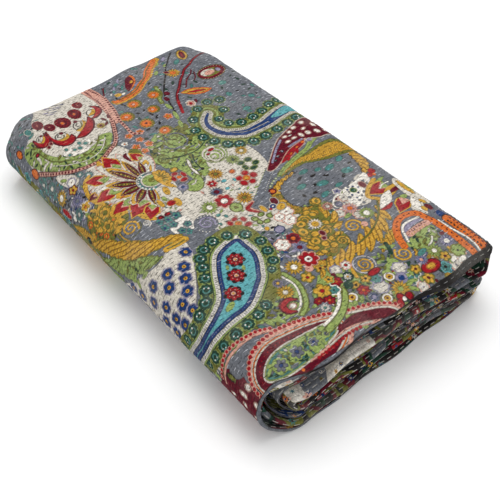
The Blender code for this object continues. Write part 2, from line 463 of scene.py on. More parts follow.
def off_to(x, v, degrees, far):
    """The place that lies far mm from (x, v) in a direction."""
    return x + far * math.cos(math.radians(degrees)), v + far * math.sin(math.radians(degrees))


def oval(a, b, long, wide):
    return (1 - np.hypot(a / long, b / wide)) * min(long, wide)


def petal_frame(a, b, count, start):
    """Every petal's points turned to lie along the first axis."""
    turn = 2 * math.pi / count
    fold = (np.arctan2(b, a) - math.radians(start) + turn / 2) % turn - turn / 2
    far = np.hypot(a, b)
    return far * np.cos(fold), far * np.sin(fold)


def dot(cloth, ink, x, v, radius, line=0.0):
    where, a, b = cloth.around(x, v, radius)
    cloth.lay(ink, where, radius - np.hypot(a, b), line)


def spot(cloth, ink, x, v, long, wide, degrees=0.0, line=0.0):
    """An oval of half sizes long and wide, its long way turned to degrees."""
    where, a, b = cloth.around(x, v, max(long, wide))
    cloth.lay(ink, where, oval(*turned(a, b, degrees), long, wide), line)


# small flowers, as petals, then shares of the radius: where a petal's middle lies, its half length and half
# width, the eye; and the share of the petals' ring that is filled
FLOWERS = {
    "six": (6, 0.62, 0.38, 0.30, 0.30, 0.7),
    "five": (5, 0.58, 0.42, 0.36, 0.28, 0.7),
    "daisy": (9, 0.64, 0.36, 0.17, 0.34, 0.8),
    "rayed": (15, 0.60, 0.40, 0.095, 0.24, 0.3),
    "round": (7, 0.62, 0.38, 0.30, 0.40, 0.9),
    "soft": (6, 0.52, 0.46, 0.40, 0.16, 0.9),
}


def flower(cloth, kind, x, v, radius, ink, eye, edge=None, start=0.0):
    """A small flower: petals, a round eye and, where edge is given, an ink that shows round them."""
    count, out, long, wide, eye_share, filled = FLOWERS[kind]
    where, a, b = cloth.around(x, v, radius + 1.5)
    p, q = petal_frame(a, b, count, start)
    far = np.hypot(a, b)
    petals = np.maximum(oval(p - out * radius, q, long * radius, wide * radius), out * radius * filled - far)
    if edge and kind == "rayed":
        cloth.lay(edge, where, radius * 0.92 - far, line=0.4)
    elif edge:
        cloth.lay(edge, where, petals + 1.2)
    cloth.lay(ink, where, petals, line=0.7)
    cloth.lay(eye, where, eye_share * radius - far, line=0.7)


def stem(cloth, ink, knots):
    band = Band(cloth, knots, 1.0)
    cloth.lay(ink, band.where, band.depth, 0.5)


def feather(cloth, knots, ink, edge, lobe, pitch, grown, line, sweep, barbs):
    """A leaf whose edge is lobed where its strands end; sweep gives how far along it a strand starts."""
    band = Band(cloth, knots, 3.0)
    run = sweep(band.along, band.side)
    depth = band.depth - lobe * (1 - np.abs(np.sin(math.pi * run / pitch)))
    cloth.lay(edge, band.where, depth + grown)
    cloth.lay(ink, band.where, depth, line, barbs * run)


# ================================================================ the print, motif by motif (mm)
# A sheet has a mark a line: its kind and values, a colon and its rows of numbers, in mm and degrees. A line
# that starts with a space goes on from the last. ; comes before another path of the same mark, and "same"
# takes the last mark's rows again. What each kind takes: its values, then what is in its rows:
#   line: ink, half width: x v                  taper: ink: x v half
#   area: ink: x v round its rim                coats: mm grown and ink, from the outside in: as area
#   beads: ink, radius, pitch: x v              ovals: ink: x v long wide turned, 0 where it isn't given
#   edged: ink, edge: as ovals                  rounds: ink: x v radius         daisies, rings: x v radius
#   flowers: kind, ink, eye, edge: x v radius   bursts: ground, rays, middle: x v radius middle's share
#   plumes: ink, edge: x v half                 feathers, fronds: ink, edge, the strands' lean: x v half
#   curls: ink, ground: x v radius turned       tulips: ink, edge, notch: x v size turned
#   petals: ink, edge, core: x v half           seeds: x v half                 domes: ink: x v long wide
#   strewn: seed, mix: x v, half sizes, gap
# grounds under the small flowers and the paisleys
GROUNDS = """
area slate: -320 190, -320 -340, 320 -340, 320 190
area cream: -292 -22, -258 -27, -221 -33, -193 -39, -172 -46, -154 -57, -138 -68, -124 -86, -117 -103,
 -118 -124, -130 -144, -152 -159, -180 -168, -205 -160, -214 -146, -226 -132, -248 -122, -270 -108,
 -292 -100; -127 -70, -100 -58, -86 -50, -64 -58, -45 -52, -22 -54, 5 -62, 18 -80, 12 -104, -3 -116,
 -30 -130, -60 -136, -92 -136, -113 -118, -116 -95; -52 46, -20 58, 6 58, 24 52, 38 38, 50 18, 64 -2, 80 -8,
 92 22, 106 30, 121 23, 120 -3, 106 -26, 90 -42, 84 -58, 66 -66, 52 -76, 50 -100, 24 -104, 6 -96, 0 -60,
 -14 -46, 0 -30, -12 -16, -24 -4, -46 6; 60 -104, 80 -106, 96 -116, 113 -126, 129 -138, 141 -152, 149 -172,
 151 -195, 141 -222, 122 -262, 8 -262, 14 -235, 25 -205, 45 -182, 62 -160, 67 -140, 58 -120; 106 122,
 120 128, 132 110, 150 98, 140 76, 128 66, 116 74, 112 100; 176 148, 196 140, 204 134, 190 126, 176 134
area lime: -152 -59, -138 -68, -127 -82, -119 -98, -118 -118, -124 -134, -136 -145, -158 -158, -190 -166,
 -208 -160, -208 -142, -180 -142, -160 -136, -146 -122, -141 -108, -147 -86, -158 -72
area olive: -110 24, -84 20, -66 22, -60 -46, -82 -46, -104 -34, -106 -10
area lime: -74 24, -50 18, -46 4, -30 -2, -18 -8, -8 -22, -14 -32, -40 -36, -54 -48, -70 -40, -72 0; 218 122,
 228 121, 240 108, 240 94, 236 84, 222 78, 217 96
area olive: -166 -186, -120 -190, -60 -190, -8 -196, 10 -262, -120 -262, -280 -262, -270 -200, -220 -190
"""
# mixes of small flowers: kind, inks (its own, eye, edge), least and greatest radius, how often it comes
MIXES = """
mixed: six red gold burgundy 4.5 7 3, five teal navy cream 4.5 6.5 3, daisy cream orange slate 5 7.5 2,
 five gold burgundy olive 4.5 7.5 3, rayed gold cream olive 6 8.5 2, rayed lavender navy navy 5 7.5 2,
 soft cream lavender pink 5 8 3, leaf lime 4 7 4, leaf green 3.5 5 4, dot burgundy 1.4 2.4 2
cool: five teal navy aqua 4.5 6.5 4, rayed teal cream slate 5.5 8 2, leaf olive 4 7 4,
 five gold cream olive 4 6.5 3, leaf charcoal 3 4.5 3, dot cream 1.4 2.4 2
limy: leaf olive 3 5 4, leaf green 2.5 4 3, leaf cream 3 5 2
sprigs: leaf teal 3.5 6 3, leaf green 2.5 4.5 2, leaf charcoal 2 4 3
leafy: leaf lime 4 7.5 7, leaf olive 3 5.5 4, leaf green 2.2 4.2 3, leaf slate 2.5 4.5 2, leaf cream 2.5 4 1
middle: leaf teal 2 3.4 3, leaf lime 2 3.6 3, leaf pink 2 3.4 2
golden: leaf gold 4 7 6, leaf orange 2.5 4.5 2, leaf olive 3 5 4, leaf charcoal 1.6 2.8 2
tealy: leaf teal 4 7 5, leaf slate 3 5 3, leaf charcoal 2 3.6 2, leaf aqua 2 3.4 1
dusky: leaf lavender 3 5 3, leaf navy 2 3.6 2, leaf white 2 4 3, leaf charcoal 2 3.4 2, leaf lime 2 4 1
"""
MIX_KINDS = {name: [kind.split() for kind in kinds.split(",")] for name, kinds in (
    mix_row.split(": ") for mix_row in MIXES.strip().replace("\n ", " ").splitlines())}
STREWN = """
strewn 11 mixed: -100 -262 210 60 9.5
strewn 12 cool: -220 -212 80 28 9
strewn 13 cool: -112 -190 52 12 8.5
strewn 14 mixed: 235 -8 50 34 9
strewn 15 mixed: 256 80 24 60 8
strewn 16 mixed: 136 62 26 24 9
strewn 18 limy: -135 -115 22 50 5.5
strewn 19 limy: -180 -152 30 10 5.5
strewn 20 limy: 228 100 12 24 5
strewn 21 middle: 50 -20 44 48 9
strewn 22 sprigs: -135 100 60 60 11
strewn 23 sprigs: -230 40 50 70 12
strewn 24 sprigs: -245 -145 32 34 8
strewn 25 mixed: 0 184 300 16 9.5
strewn 26 mixed: 0 240 300 46 11
strewn 28 sprigs: -150 -18 46 24 9
strewn 29 sprigs: 128 -22 30 20 7
strewn 30 sprigs: 81 81 26 50 7.5
strewn 32 sprigs: 200 -100 12 40 7
strewn 34 leafy: -76 -10 34 38 3.6
strewn 35 leafy: -34 -18 28 14 4
strewn 36 leafy: 236 -2 44 58 3.9
strewn 37 leafy: 196 -82 24 30 3.9
strewn 38 leafy: 196 -150 9 50 4
strewn 39 leafy: 118 44 16 14 4
strewn 40 tealy: -132 -170 36 14 4.2
strewn 41 dusky: -84 -158 30 20 4.4
strewn 42 middle: 8 -86 14 20 5
strewn 43 dusky: 150 -24 30 26 5
"""
# far left: branches, leaves, the orange band, flowers on the slate
CORNER = """
edged gold olive: -256 128 21 7 -25
ovals burgundy: -256 128 17 4.2 -25
ovals red: -256 128 12 1.2 -25
ovals teal: -240 107 10 4 -40, -250 9 9 2.6 -30, -233 10 8 2 -30, -234 -3 9 2 -30, -124 110 5 4,
 -102 131 5 4 30, -83 107 4 6, -151 120 5 6, -246 -11 9 2 -30
ovals lime: -263 87 8 3.4 -40, -232 66 8 3 -40, -246 90 8 2 -40
ovals lavender: -262 20 9 2 -30, -242 2 8 2 -30, -225 30 3 7 20, -270 104 8 3 -40
ovals white: -215 1 3.4 2.6 -60, -226 -12 5 1.2 -30
line charcoal 1.1: -279 124, -266 111, -251 98, -237 86, -223 76, -210 66, -197 55, -178 42, -158 36, -134 29
line burgundy 2.2: -257 172, -245 160, -234 151, -231 139, -226 126, -218 114, -211 100, -202 90, -191 78,
 -179 67, -167 55, -154 47, -130 37
line red 0.9: -231 139, -226 126, -218 114, -211 100, -202 90, -191 78, -179 67, -167 55, -154 47, -130 37
line burgundy 1: -205 107, -197 100, -189 88, -179 79, -173 74
line burgundy 0.9: -197 106, -186 100, -181 94
line burgundy 1.2: -258 -6, -230 -21
bursts gold olive orange: -214 82 11 0.4
edged burgundy pink: -221 76 4 2.4 20
edged burgundy olive: -182 125 14.5 21
ovals red: -182 125 11 17.5
ovals olive: -182 125 9.6 15.5
ovals cream: -184 120 7.5 11
ovals pink: -182 122 5.5 8
edged lavender burgundy: -181 136 4.4 3.6
beads pink 0.8 4: -194 112, -196 126, -190 141, -178 145, -169 134, -168 118, -176 106
taper gold: -278 96 5.5, -272 87 7, -258 72 7.2, -245 62 7, -232 52 5.6, -221 35 5.8, -211 22 5.6,
 -206 10 5.6, -203 -3 5.6, -203 -17 4.6, -209 -21 2
taper orange: -279 92 4.2, -272 84 5.4, -258 69 5.6, -245 59 5.6, -232 49 4.4, -221 33 4.4, -211 21 4.4,
 -207 10 4.2, -205 -3 4.2, -205 -17 3.4, -210 -19 1.2
line olive 0.7: -272 82, -258 66, -245 57, -232 46, -221 31, -211 18, -207 4, -206 -12
ovals gold: -218 -6 5 5, -226 -30 4 2
taper orange: -264 42 2, -252 35 6, -238 27 7, -226 18 5, -216 11 1
taper burgundy: -264 39 1.2, -252 32 5, -238 25 6, -226 16 4.2, -216 10 0.8
edged gold red: -238 28 6 2.4 -35
taper orange: -150 100 1, -153 91 6, -158 80 8, -163 71 6, -167 61 1
taper gold: -151 97 0.8, -154 90 3.6, -158 80 5, -163 71 3.6, -166 63 0.8
taper red: -153 92 0.8, -157 82 2.8, -162 70 1
ovals burgundy: -140 66 4.5 2.2 -30, -178 46 5 4, -167 38 5 3.4
flowers round pink red cream: -139 57 6
line olive 3.2: -200 43, -183 39, -174 31, -164 28
line lime 1.9: -198 42, -183 39, -174 31, -166 29
ovals lime: -152 30 8 3, -130 26 10 3 -15, -112 20 8 3 -20, -112 75 9 4.4 60
ovals slate: -112 75 6 2.2 60
line red 2.2: -154 47, -142 42, -130 37
ovals olive: -187 32 10.4 9.4, -186 -1 10.4 9.6, -160 12 9 8, -140 -12 10.4 9, -168 -24 10.4 9.4,
 -113 -2 9.8 9
bursts gold orange orange: -187 30 9.4 0.7, -186 -3 9.4 0.7, -168 -26 9.8 0.7, -160 10 8 0.7,
 -140 -14 9.6 0.7, -113 -4 9.2 0.7
rounds pink: -187 30 2.4, -186 -3 2.4, -168 -26 2.4, -160 10 2.2, -113 -4 2.4
rounds burgundy: -140 -14 1.6
flowers five orange gold pink: -135 17 5.4, -131 -30 4.5, -118 -39 4.5, -104 -35 5, -132 -46 4.5,
 -95 -47 4.5, -108 -51 5
flowers five white orange slate: -122 -59 4.8
"""
# the long curl at the top with its garland: its middle line and its ring flowers
CURL = """
-46 172 8, -49 150 7.4, -47 127 6.6, -43 107 5.2, -43 90 4.6, -44 75 4.2, -50 64 4, -60 51 3.4, -72 45 2.8,
 -84 44 2.2, -96 49 1.6, -106 60 1
"""
CURL_RINGS = """
rings: -25 162 7.6, -27 144 7.8, -25 127 7.6, -24 108 7.8, -23 88 7.8, -24 69 7.8, -31 52 7.6, -40 40 7.6,
 -55 31 7.6, -70 25 7.6, -88 26 7.4, -107 38 7.6, -123 56 7.2, -128 76 7.2, -122 92 7.2, -73 152 7.4,
 -72 136 7.6, -66 119 7.6, -63 101 7.4, -64 82 7.2, -73 68 7, -88 64 6.8, -101 82 7
"""
# on the curl's blue band
CURL_TOP = """
area aqua: -55 176, -56 150, -54 134, -48 118, -44 124, -42 140, -41 176
beads cream 0.7 4: -52 170, -53 150, -50 132
line cream 0.6: -43 110, -43 92, -45 76, -52 64, -62 54
"""
# the slate oval, its gold frame and the middle's own small things
OVAL = """
ovals slate: 81 81 31 58
ovals teal: 92 118 5 8 -20, 74 106 4 8 10, 60 76 3.4 7, 90 79 4.6 8 -15, 106 68 3.6 7 10, 78 56 4 7,
 70 126 4 6 20, 104 92 3 6, 68 92 3 5
ovals charcoal: 96 108 2 4 30, 82 92 2 4 -30, 66 64 2 4 20, 96 62 2 4, 84 130 2 3, 72 80 2 4, 92 48 3 2,
 86 70 2 3 20
ovals aqua: 90 122 2 2.6, 76 102 1.6 2.6, 91 75 1.8 2.6, 107 64 1.6 2
feathers gold charcoal 40: 60 146 4, 80 146 7, 96 142 7, 108 132 3.6; 53 66 2.2, 55 48 3.2, 60 34 4.4,
 70 24 6, 86 20 6.8, 100 22 7, 110 31 6, 115 44 4.4, 112 54 2
beads lime 1.7 5: 46 60, 47 46, 51 34, 58 24, 68 15
beads cream 0.9 5: same
curls gold olive: 90 20 6.4 40, 74 24 5.4 200, 104 26 6 120
rounds red: 112 139 4.6, 116 132 3.6
rounds orange: 118 137 2.4
line slate 4.6: 30 48, 43 29, 56 10, 70 -10
beads lime 0.9 4.4: 27 44, 40 25, 54 6
beads white 0.7 3.2: 35 50, 47 32, 60 13
rounds burgundy: 62 25 5
rounds orange: 62 25 3
area slate: 56 18, 70 18, 80 12, 78 0, 68 -4, 58 4
edged burgundy cream: 76 15 6.2 4.2 -10
edged navy white: 82 8 3.6 4
rounds white: 82 8 1.4
rounds red: 84 3 2
"""
# the dark crescent beside the curl
CRESCENT = """
taper olive: 58 156 13, 50 138 17, 48 120 14.5, 46 104 10, 43 90 7, 43 72 6, 45 56 5
plumes gold olive: 66 156 4, 52 142 11, 48 122 11, 46 104 7, 42 88 4.5, 42 70 4, 46 52 3
taper lime: 18 150 2, 22 126 3.2, 30 110 3.4, 33 95 3.2, 36 80 3.2, 40 65 3, 46 51 2.2
beads olive 0.6 2.6: 22 126, 30 110, 33 95, 36 80, 40 65, 46 51
coats 1.8 cream 0.8 pink 0 burgundy: -17 172, -20 142, -17 131, -13 115, -7 96, 3 80, 15 64, 25 51, 31 45,
 34 51, 31 62, 24 78, 20 92, 17 108, 14 122, 20 134, 24 144, 20 172
taper pink: 14 122 1, 18 110 4.6, 21 95 5.2, 27 80 4.8, 31 66 1
taper red: 15 118 1, 18 110 3.2, 21 95 3.8, 27 80 3.4, 31 68 0.8; 20 100 3, 27 96 2.2, 30 94 0.5; 26 82 3,
 31 78 2, 33 76 0.5
ovals orange: 17 114 1.8 3.4, 20 102 1.4 3, 25 88 1.3 3 20
edged lavender cream: 19 124 2.6 3.4
line lavender 1.6: 12 118, 12 106, 13 95; -3 95, 8 78, 23 59
edged white pink: 12 144 4.6 2.6 10, -14 140 2.6 3.2, 7 133 3.6 3, -12 125 2.2 3.4, 5 123 4 2.4,
 -9 115 1.7 2.8, 4 112 1.7 3.6, -5 104 1.7 3.2, 5 101 1.7 3.8, -3 134 1.6 3, -2 150 4 3, 14 156 3.6 2.6,
 -10 158 3 3
ovals white: -3 111 0.9 3.2
rounds charcoal: 15 82 2.6, 19 71 2.4, 23 64 2
rounds lavender: 15 82 1.2, 19 71 1.1, 23 64 0.9
"""
# the gold acanthus, the lace and the second lotus at the right of the top
ACANTHUS = """
area olive: 112 44, 122 49, 140 48, 160 40, 176 38, 184 20, 182 2, 160 -1, 140 -1, 124 1, 115 14
fronds gold olive 44: 150 112 3, 162 102 7, 175 90 10.5, 184 73 13, 190 54 13.5, 192 34 12, 191 16 10.5,
 190 0 9, 194 -14 6.5, 198 -30 2
feathers gold olive 40: 196 96 2, 199 82 5, 206 66 6, 212 52 2
fronds gold olive -50: 116 30 4, 122 44 7, 138 49 8, 152 42 7.5, 164 28 7, 176 14 6
fronds gold olive 50: 180 4 5, 164 -2 7, 146 0 6.5, 130 2 6, 118 10 4
plumes gold olive: 184 -10 4, 178 -18 5, 182 -32 2
curls gold olive: 122 20 9.4 60, 142 9 9.4 200, 150 28 9 100, 163 12 9 320, 173 30 8.6 20, 107 50 7 150,
 178 12 6 90
edged gold olive: 132 4 4.4 3 30, 114 30 4.4 3 80, 153 17 4 2.6 50, 163 23 4.4 2.8, 171 19 4 2.6 120,
 154 1 4.6 2.8, 140 36 4.4 2.8 20, 121 34 4 2.8 40, 161 33 4 2.6 100, 172 3 4 2.6 40
rounds slate: 136 17 2.6, 157 36 2.2, 170 42 2.6, 129 12 1.8, 155 21 1.8
line gold 2: 200 17, 204 11, 212 6, 221 3
edged gold olive: 124 13 5.4 5.4, 135 6 6.2 5.4, 154 7 5.6 5, 146 14 4.4 4.4, 164 12 4.4 4, 172 18 4.4 4,
 107 52 5.4 5, 150 26 4 3.4
ovals olive: 124 13 2 2, 135 6 2.4 2, 154 7 2 2, 107 52 2 2
daisies: 242 29 6, 260 7 5.6, 237 -21 6.4
bursts white gold gold: 134 25 8.6 0.5
edged burgundy pink: 150 21 4 2.8, 157 17 2.4 2.4
curls gold slate: 164 55 12.5 30, 229 66 12 200
rounds lavender: 213 22 13.6
rounds white: 213 22 12.6
curls gold slate: 213 22 11.6 300
area white: 108 130, 124 124, 128 112, 138 100, 146 84, 136 78, 126 84, 113 88, 112 108
rounds navy: 117 102 1.5, 129 99 1.5, 117 93 1.5, 127 91 1.5, 122 106 1.3, 134 92 1.3
rounds slate: 118 118 2.2, 132 106 2.2, 114 97 1.8, 128 86 2.2, 139 91 1.8, 121 92 1.4, 124 119 1.4,
 135 99 1.4, 110 110 2, 145 92 2
rings: 122 98 3.4, 112 82 5
edged burgundy pink: 122 113 5.4 3.4
line white 1.3: 119 83, 116 75, 120 68, 126 62, 135 66
curls lavender slate: 128 68 5 0
flowers five lavender navy cream: 111 82 5
line olive 1: 150 108, 166 94, 177 78, 184 60, 187 40
bursts lime olive white: 159 82 9.6 0.42
bursts pink lavender orange: 141 73 9.6 0.36
bursts pink burgundy cream: 122 56 7.2 0.36
rounds pink: 170 67 4
taper lime: 128 142 1, 130 132 3, 131 120 1
tulips red gold lime: 139 121 12.5 268
line gold 2.8: 124 130, 131 114, 141 103, 151 110
line white 1: 138 140, 137 130, 140 124
taper gold: 148 146 4, 150 132 6.5, 154 120 4, 155 112 0.6
taper burgundy: 152 150 3, 152 136 3.2, 152 126 1
taper white: 150 128 2, 156 118 6.5, 162 106 4, 165 99 0.6
taper red: 166 116 1.4, 168 108 3, 166 99 1
ovals lime: 167 134 3.6 6.4
tulips red gold pink: 176 123 11 300
taper white: 172 146 3, 184 137 5.5, 196 133 1
taper cream: 146 152 10, 166 152 12, 186 150 7
ovals gold: 156 150 15 4.5, 196 138 4.6 3, 186 146 5 2.6 20
ovals burgundy: 197 144 5.8 3.4 10
ovals lime: 158 158 9 5
edged navy lavender: 214 147 7.4 5.6
line charcoal 8.2: 224 147, 252 147, 281 148
line orange 6.6: 224 146, 252 146, 281 147
beads burgundy 1.5 5: 222 149, 252 150, 281 150
beads charcoal 1.3 4.6: 224 143, 252 143, 281 144
line white 1.3: 218 135, 235 136, 248 138, 261 140, 278 138
line orange 4.4: 280 130, 250 130, 219 130, 208 128, 196 125, 190 115, 189 104, 194 93, 203 84, 213 78,
 222 75
beads burgundy 1.1 7: 280 131, 250 131, 219 131, 208 129, 195 125, 189 112, 192 96, 204 83
taper lavender: 206 122 1.4, 202 110 4, 204 98 4, 214 88 2.4
line white 1.5: 201 122, 199 110, 199 100, 204 92, 212 88, 220 84
line pink 4.4: 213 122, 212 108, 213 94
beads burgundy 1 4: 211 122, 210 108, 211 94
beads gold 1 4.4: 215 120, 214 106, 215 94
line white 1.1: 231 110, 236 104, 238 97
rounds burgundy: 235 122 3
taper lime: 205 52 1, 212 60 3.4, 214 68 1
"""
# navy flowers on the cream ground: x v
NAVY_FLOWERS = """
76 -112, 92 -126, 105 -134, 85 -144, 118 -142, 98 -153, 124 -156, 138 -153, 78 -165, 106 -172, 124 -174,
 138 -171, 86 -182, 64 -189, 128 -192, 110 -190, 46 -191, 96 -204, 74 -208, 54 -210, 118 -212, 34 -208,
 86 -226, 64 -228, 42 -230, 106 -232, 24 -232, 92 -248, 70 -248, 48 -250, 28 -252, 112 -250
"""
# the big paisley on the left
LEFT_PAISLEY = """
taper pink: -282 -24 8, -255 -26 8, -225 -30 7.6, -205 -33 7, -185 -37 6, -168 -42 3.6
line burgundy 3.2: -173 -45, -167 -47, -152 -54, -140 -60, -130 -69, -124 -80, -118 -91, -115 -100,
 -115 -118, -118 -128, -124 -137, -134 -146, -144 -154, -155 -160, -166 -166, -172 -171
line pink 2.3: -278 -27, -258 -29, -241 -33, -219 -35, -198 -38, -185 -41, -173 -45, -167 -47, -152 -54,
 -140 -60, -130 -69, -124 -80, -118 -91, -115 -100, -115 -118, -118 -128, -124 -137, -134 -146, -144 -154,
 -155 -160, -166 -166, -172 -171
beads burgundy 1.4 4.6: same
line pink 2.3: -275 -20, -250 -22, -225 -24, -207 -27, -189 -30, -170 -36, -152 -38, -135 -39, -127 -30
beads burgundy 1.6 5.5: same
line white 0.7: -150 -70, -134 -84, -127 -100, -127 -118, -136 -134, -152 -146
line olive 0.7: -158 -74, -142 -88, -135 -104, -136 -120, -146 -134, -162 -144, -190 -148
rounds green: -143 -81 1.4, -133 -94 1.4, -129 -109 1.4, -132 -124 1.4, -144 -142 1.4, -166 -155 1.4,
 -152 -68 1.3, -186 -158 1.3, -200 -150 1.3
ovals white: -156 -98 7 12 20, -152 -118 8 10 -20, -146 -104 4 10
edged teal cream: -156 -95 3 3, -161 -101 3 2.6, -152 -105 3 3, -153 -112 2.4 2.4, -160 -120 2.6 2.2,
 -148 -122 2.2 2.2
ovals navy: -257 -80 6 1.2 65, -251 -88 6 1.2 65, -266 -69 6 1.2 65, -262 -90 5 1 65, -272 -78 5 1 65
ovals lavender: -262 -78 6 1.8 65, -247 -94 6 1.6 60, -257 -97 5 1.8 60, -270 -88 5 1.8 60
edged burgundy red: -241 -57 11.6 5.2 -12, -220 -73 13.4 7.4 -12, -212 -95 12.2 8.8, -214 -113 8.4 5.8,
 -232 -121 12.6 5.6 -12
edged pink red: -241 -57 5.4 0.6 -12, -219 -74 3.6 1.8 -12, -211 -96 3.6 2.4, -214 -113 2 1,
 -231 -122 4.4 0.6 -12
ovals orange: -219 -74 3 1.5 -12, -211 -96 3 1.9
beads red 0.9 3.6: -251 -56, -241 -53, -231 -59, -241 -61, -250 -58
beads red 1 3.8: -231 -70, -220 -67, -209 -75, -219 -79, -230 -74; -222 -95, -212 -88, -202 -95, -212 -102,
 -221 -98
edged cream charcoal: -207 -56 6.4 5 -30, -191 -81 9 8.4, -186 -111 8.4 7.6, -200 -133 7.2 6.4
taper gold: -212 -50 1, -205 -53 3.4, -203 -60 1.4; -198 -73 1, -188 -75 3.6, -182 -83 3.8, -185 -90 1;
 -187 -103 1, -180 -106 3.6, -178 -113 3.4, -183 -118 1; -203 -128 1, -196 -130 3, -194 -135 3, -199 -139 1
line olive 0.8: -197 -77, -189 -80, -187 -88; -188 -107, -183 -110, -183 -116
line charcoal 0.6: -198 -82, -194 -86, -190 -84; -192 -113, -188 -116, -186 -112; -205 -134, -202 -137,
 -199 -134
rounds burgundy: -202 -82 2.8, -193 -108 2.8, -206 -130 2
taper burgundy: -222 -49 1, -212 -44 3.8, -203 -46 4.6, -196 -54 3.6, -194 -63 1; -201 -64 1.2, -191 -66 5,
 -180 -75 6.8, -173 -87 6, -171 -98 1.2; -183 -99 1.2, -174 -103 5.4, -171 -112 6.2, -177 -120 4.8,
 -190 -124 2.6, -208 -122 1.2; -208 -125 1, -195 -126 3.2, -188 -133 4.8, -194 -140 3.4, -208 -141 1.6
taper red: -220 -48 0.6, -212 -45 2.6, -203 -47 3.4, -197 -54 2.4, -195 -61 0.6; -199 -64 0.8, -191 -67 3.8,
 -180 -76 5.6, -174 -87 4.8, -172 -96 0.8; -181 -100 0.8, -174 -104 4.2, -172 -112 5, -178 -119 3.6,
 -190 -123 1.6, -205 -122 0.6; -205 -125 0.6, -195 -127 2.2, -189 -133 3.6, -195 -139 2.4, -206 -141 0.8
edged burgundy pink: -184 -128 2.6 1.8, -181 -133 2.6 1.8
bursts gold olive burgundy: -174 -61 6.4 0.3
ovals burgundy: -185 -43 4.5 2 -20, -183 -51 5 2 20, -173 -53 4.5 1.8 -50
edged teal white: -229 -137 8 4
rounds burgundy: -185 -150 3.4
rounds red: -185 -150 1.8
edged orange burgundy: -217 -167 7 5, -175 -171 8 6
"""
# below it: flowers on the slate and teal
LOWER_LEFT = """
area cream: -118 -138, -110 -134, -100 -140, -104 -150, -124 -156, -136 -152
bursts slate teal white: -102 -124 7 0.3, -110 -131 6 0.3
flowers soft white pink lavender: -110 -145 6
flowers five gold red burgundy: -100 -150 6
flowers five gold orange cream: -68 -154 7
bursts lavender navy slate: -84 -156 9 0.34
curls white navy: -54 -146 6 0
bursts gold olive white: -111 -168 10 0.4
edged red pink: -95 -180 9.4 4.4
rounds white: -77 -175 4
bursts teal slate cream: -134 -168 9 0.34, -71 -167 8 0.3, -152 -174 8 0.3
ovals lime: -56 -159 6 3 20, -122 -150 5 2.4 40
"""
# the gold feather, the lime feather and the scroll
FEATHERS = """
plumes gold olive: -10 -176 4, -34 -182 8, -60 -184 7, -80 -190 2; -40 -205 8, -70 -225 13, -100 -240 12,
 -130 -262 6
plumes lime green: 20 -200 5, -2 -215 10, -20 -238 11, -30 -262 6
plumes gold olive: -20 -210 4, -44 -232 8, -56 -262 5
plumes lime olive: -150 -205 4, -180 -215 8, -210 -232 7, -240 -240 3
area white: 30 -78, 50 -78, 52 -92, 46 -104, 30 -102, 20 -88
flowers five teal navy slate: 23 -86 5.8, 23 -97 5.8, 33 -97 4.8, 21 -108 5.8, 32 -108 5.8, 53 -90 4.8,
 47 -95 4.8, 42 -84 4.4
area slate: -14 -112, 10 -110, 40 -114, 42 -132, 24 -142, 0 -142, -16 -130
curls white slate: 13 -119 6.4 0
rounds olive: 5 -136 13
curls gold slate: 5 -136 12 40
line olive 1: -22 -126, -20 -138, -12 -149, 0 -152, 16 -150, 30 -144
line gold 0.9: -16 -126, -14 -138, -6 -147, 6 -149, 18 -146, 28 -138
area olive: -53 -138, -34 -132, -12 -126, -4 -140, -2 -152, -12 -168, -34 -176, -54 -166
strewn 53 golden: -30 -150 26 24 3.2
flowers round gold olive olive: -38 -143 8, -22 -152 8, -40 -158 7
flowers round orange gold olive: -16 -162 5, -46 -166 5
feathers lime olive 30: 66 -134 1, 56 -148 7, 42 -163 10, 24 -176 10, 6 -186 8.4, -14 -194 3
strewn 52 leafy: 34 -168 30 14 4
feathers gold olive 26: 60 -97 1, 52 -106 5.5, 48 -122 7.4, 40 -140 9.4, 24 -155 10.6, 6 -165 10.4,
 -14 -174 8, -36 -185 3
line gold 3.8: 60 -100, 61 -112, 60 -126
line olive 0.8: 60 -102, 61 -113, 60 -124
rounds charcoal: -44 -186 5.4
rounds green: -44 -186 3
"""
# the lime ferns and curls at the left of the middle
FERNS = """
line lime 0.9: -100 -7, -97 1, -89 5, -80 2, -76 -6, -79 -15, -88 -19, -97 -15; -94 -8, -90 -2, -84 -4,
 -83 -10, -88 -14, -93 -12
line slate 1.2: -103 -8, -99 4, -89 9, -77 5, -72 -7, -77 -19, -88 -23
curls lime olive: -66 -39 8 60
line green 0.8: -62 20, -56 6, -56 -10, -60 -26, -68 -40; -52 -6, -40 -12, -26 -14
edged white olive: -40 -20 9 1.8 -20, -25 -23 9 1.6
rounds charcoal: -23 -13 2.5
coats 1 olive 0 lime: -18 -24, -6 -25, 3 -32, 5 -41, 0 -48, -8 -48, -13 -40, -14 -32
line cream 1: -12 -31, -8 -35, -8 -40
rounds lime: -36 15 17
rounds cream: -36 15 15.4
rounds lime: -35 15 13.4
rounds cream: -34 14 11.8
rounds lime: -34 14 9.8
rounds cream: -33 13 8.2
rounds lime: -32 13 5.8
rounds cream: -32 12 3.4
ovals olive: -28 4 5 1 30, -22 16 5 1 100, -44 26 4 1 40
edged red cream: -45 17 2.6 4.6, -40 9 1.8 2.8
edged red pink: -29 -37 4.8 2.4, -21 -42 2.8 4.6, -30 -51 4.8 2.8, -36 -45 2.8 3.8
edged orange cream: -28 -44 3 3.2
edged gold olive: -43 -41 3.6 4.6
flowers round lavender navy slate: -11 -51 6
"""
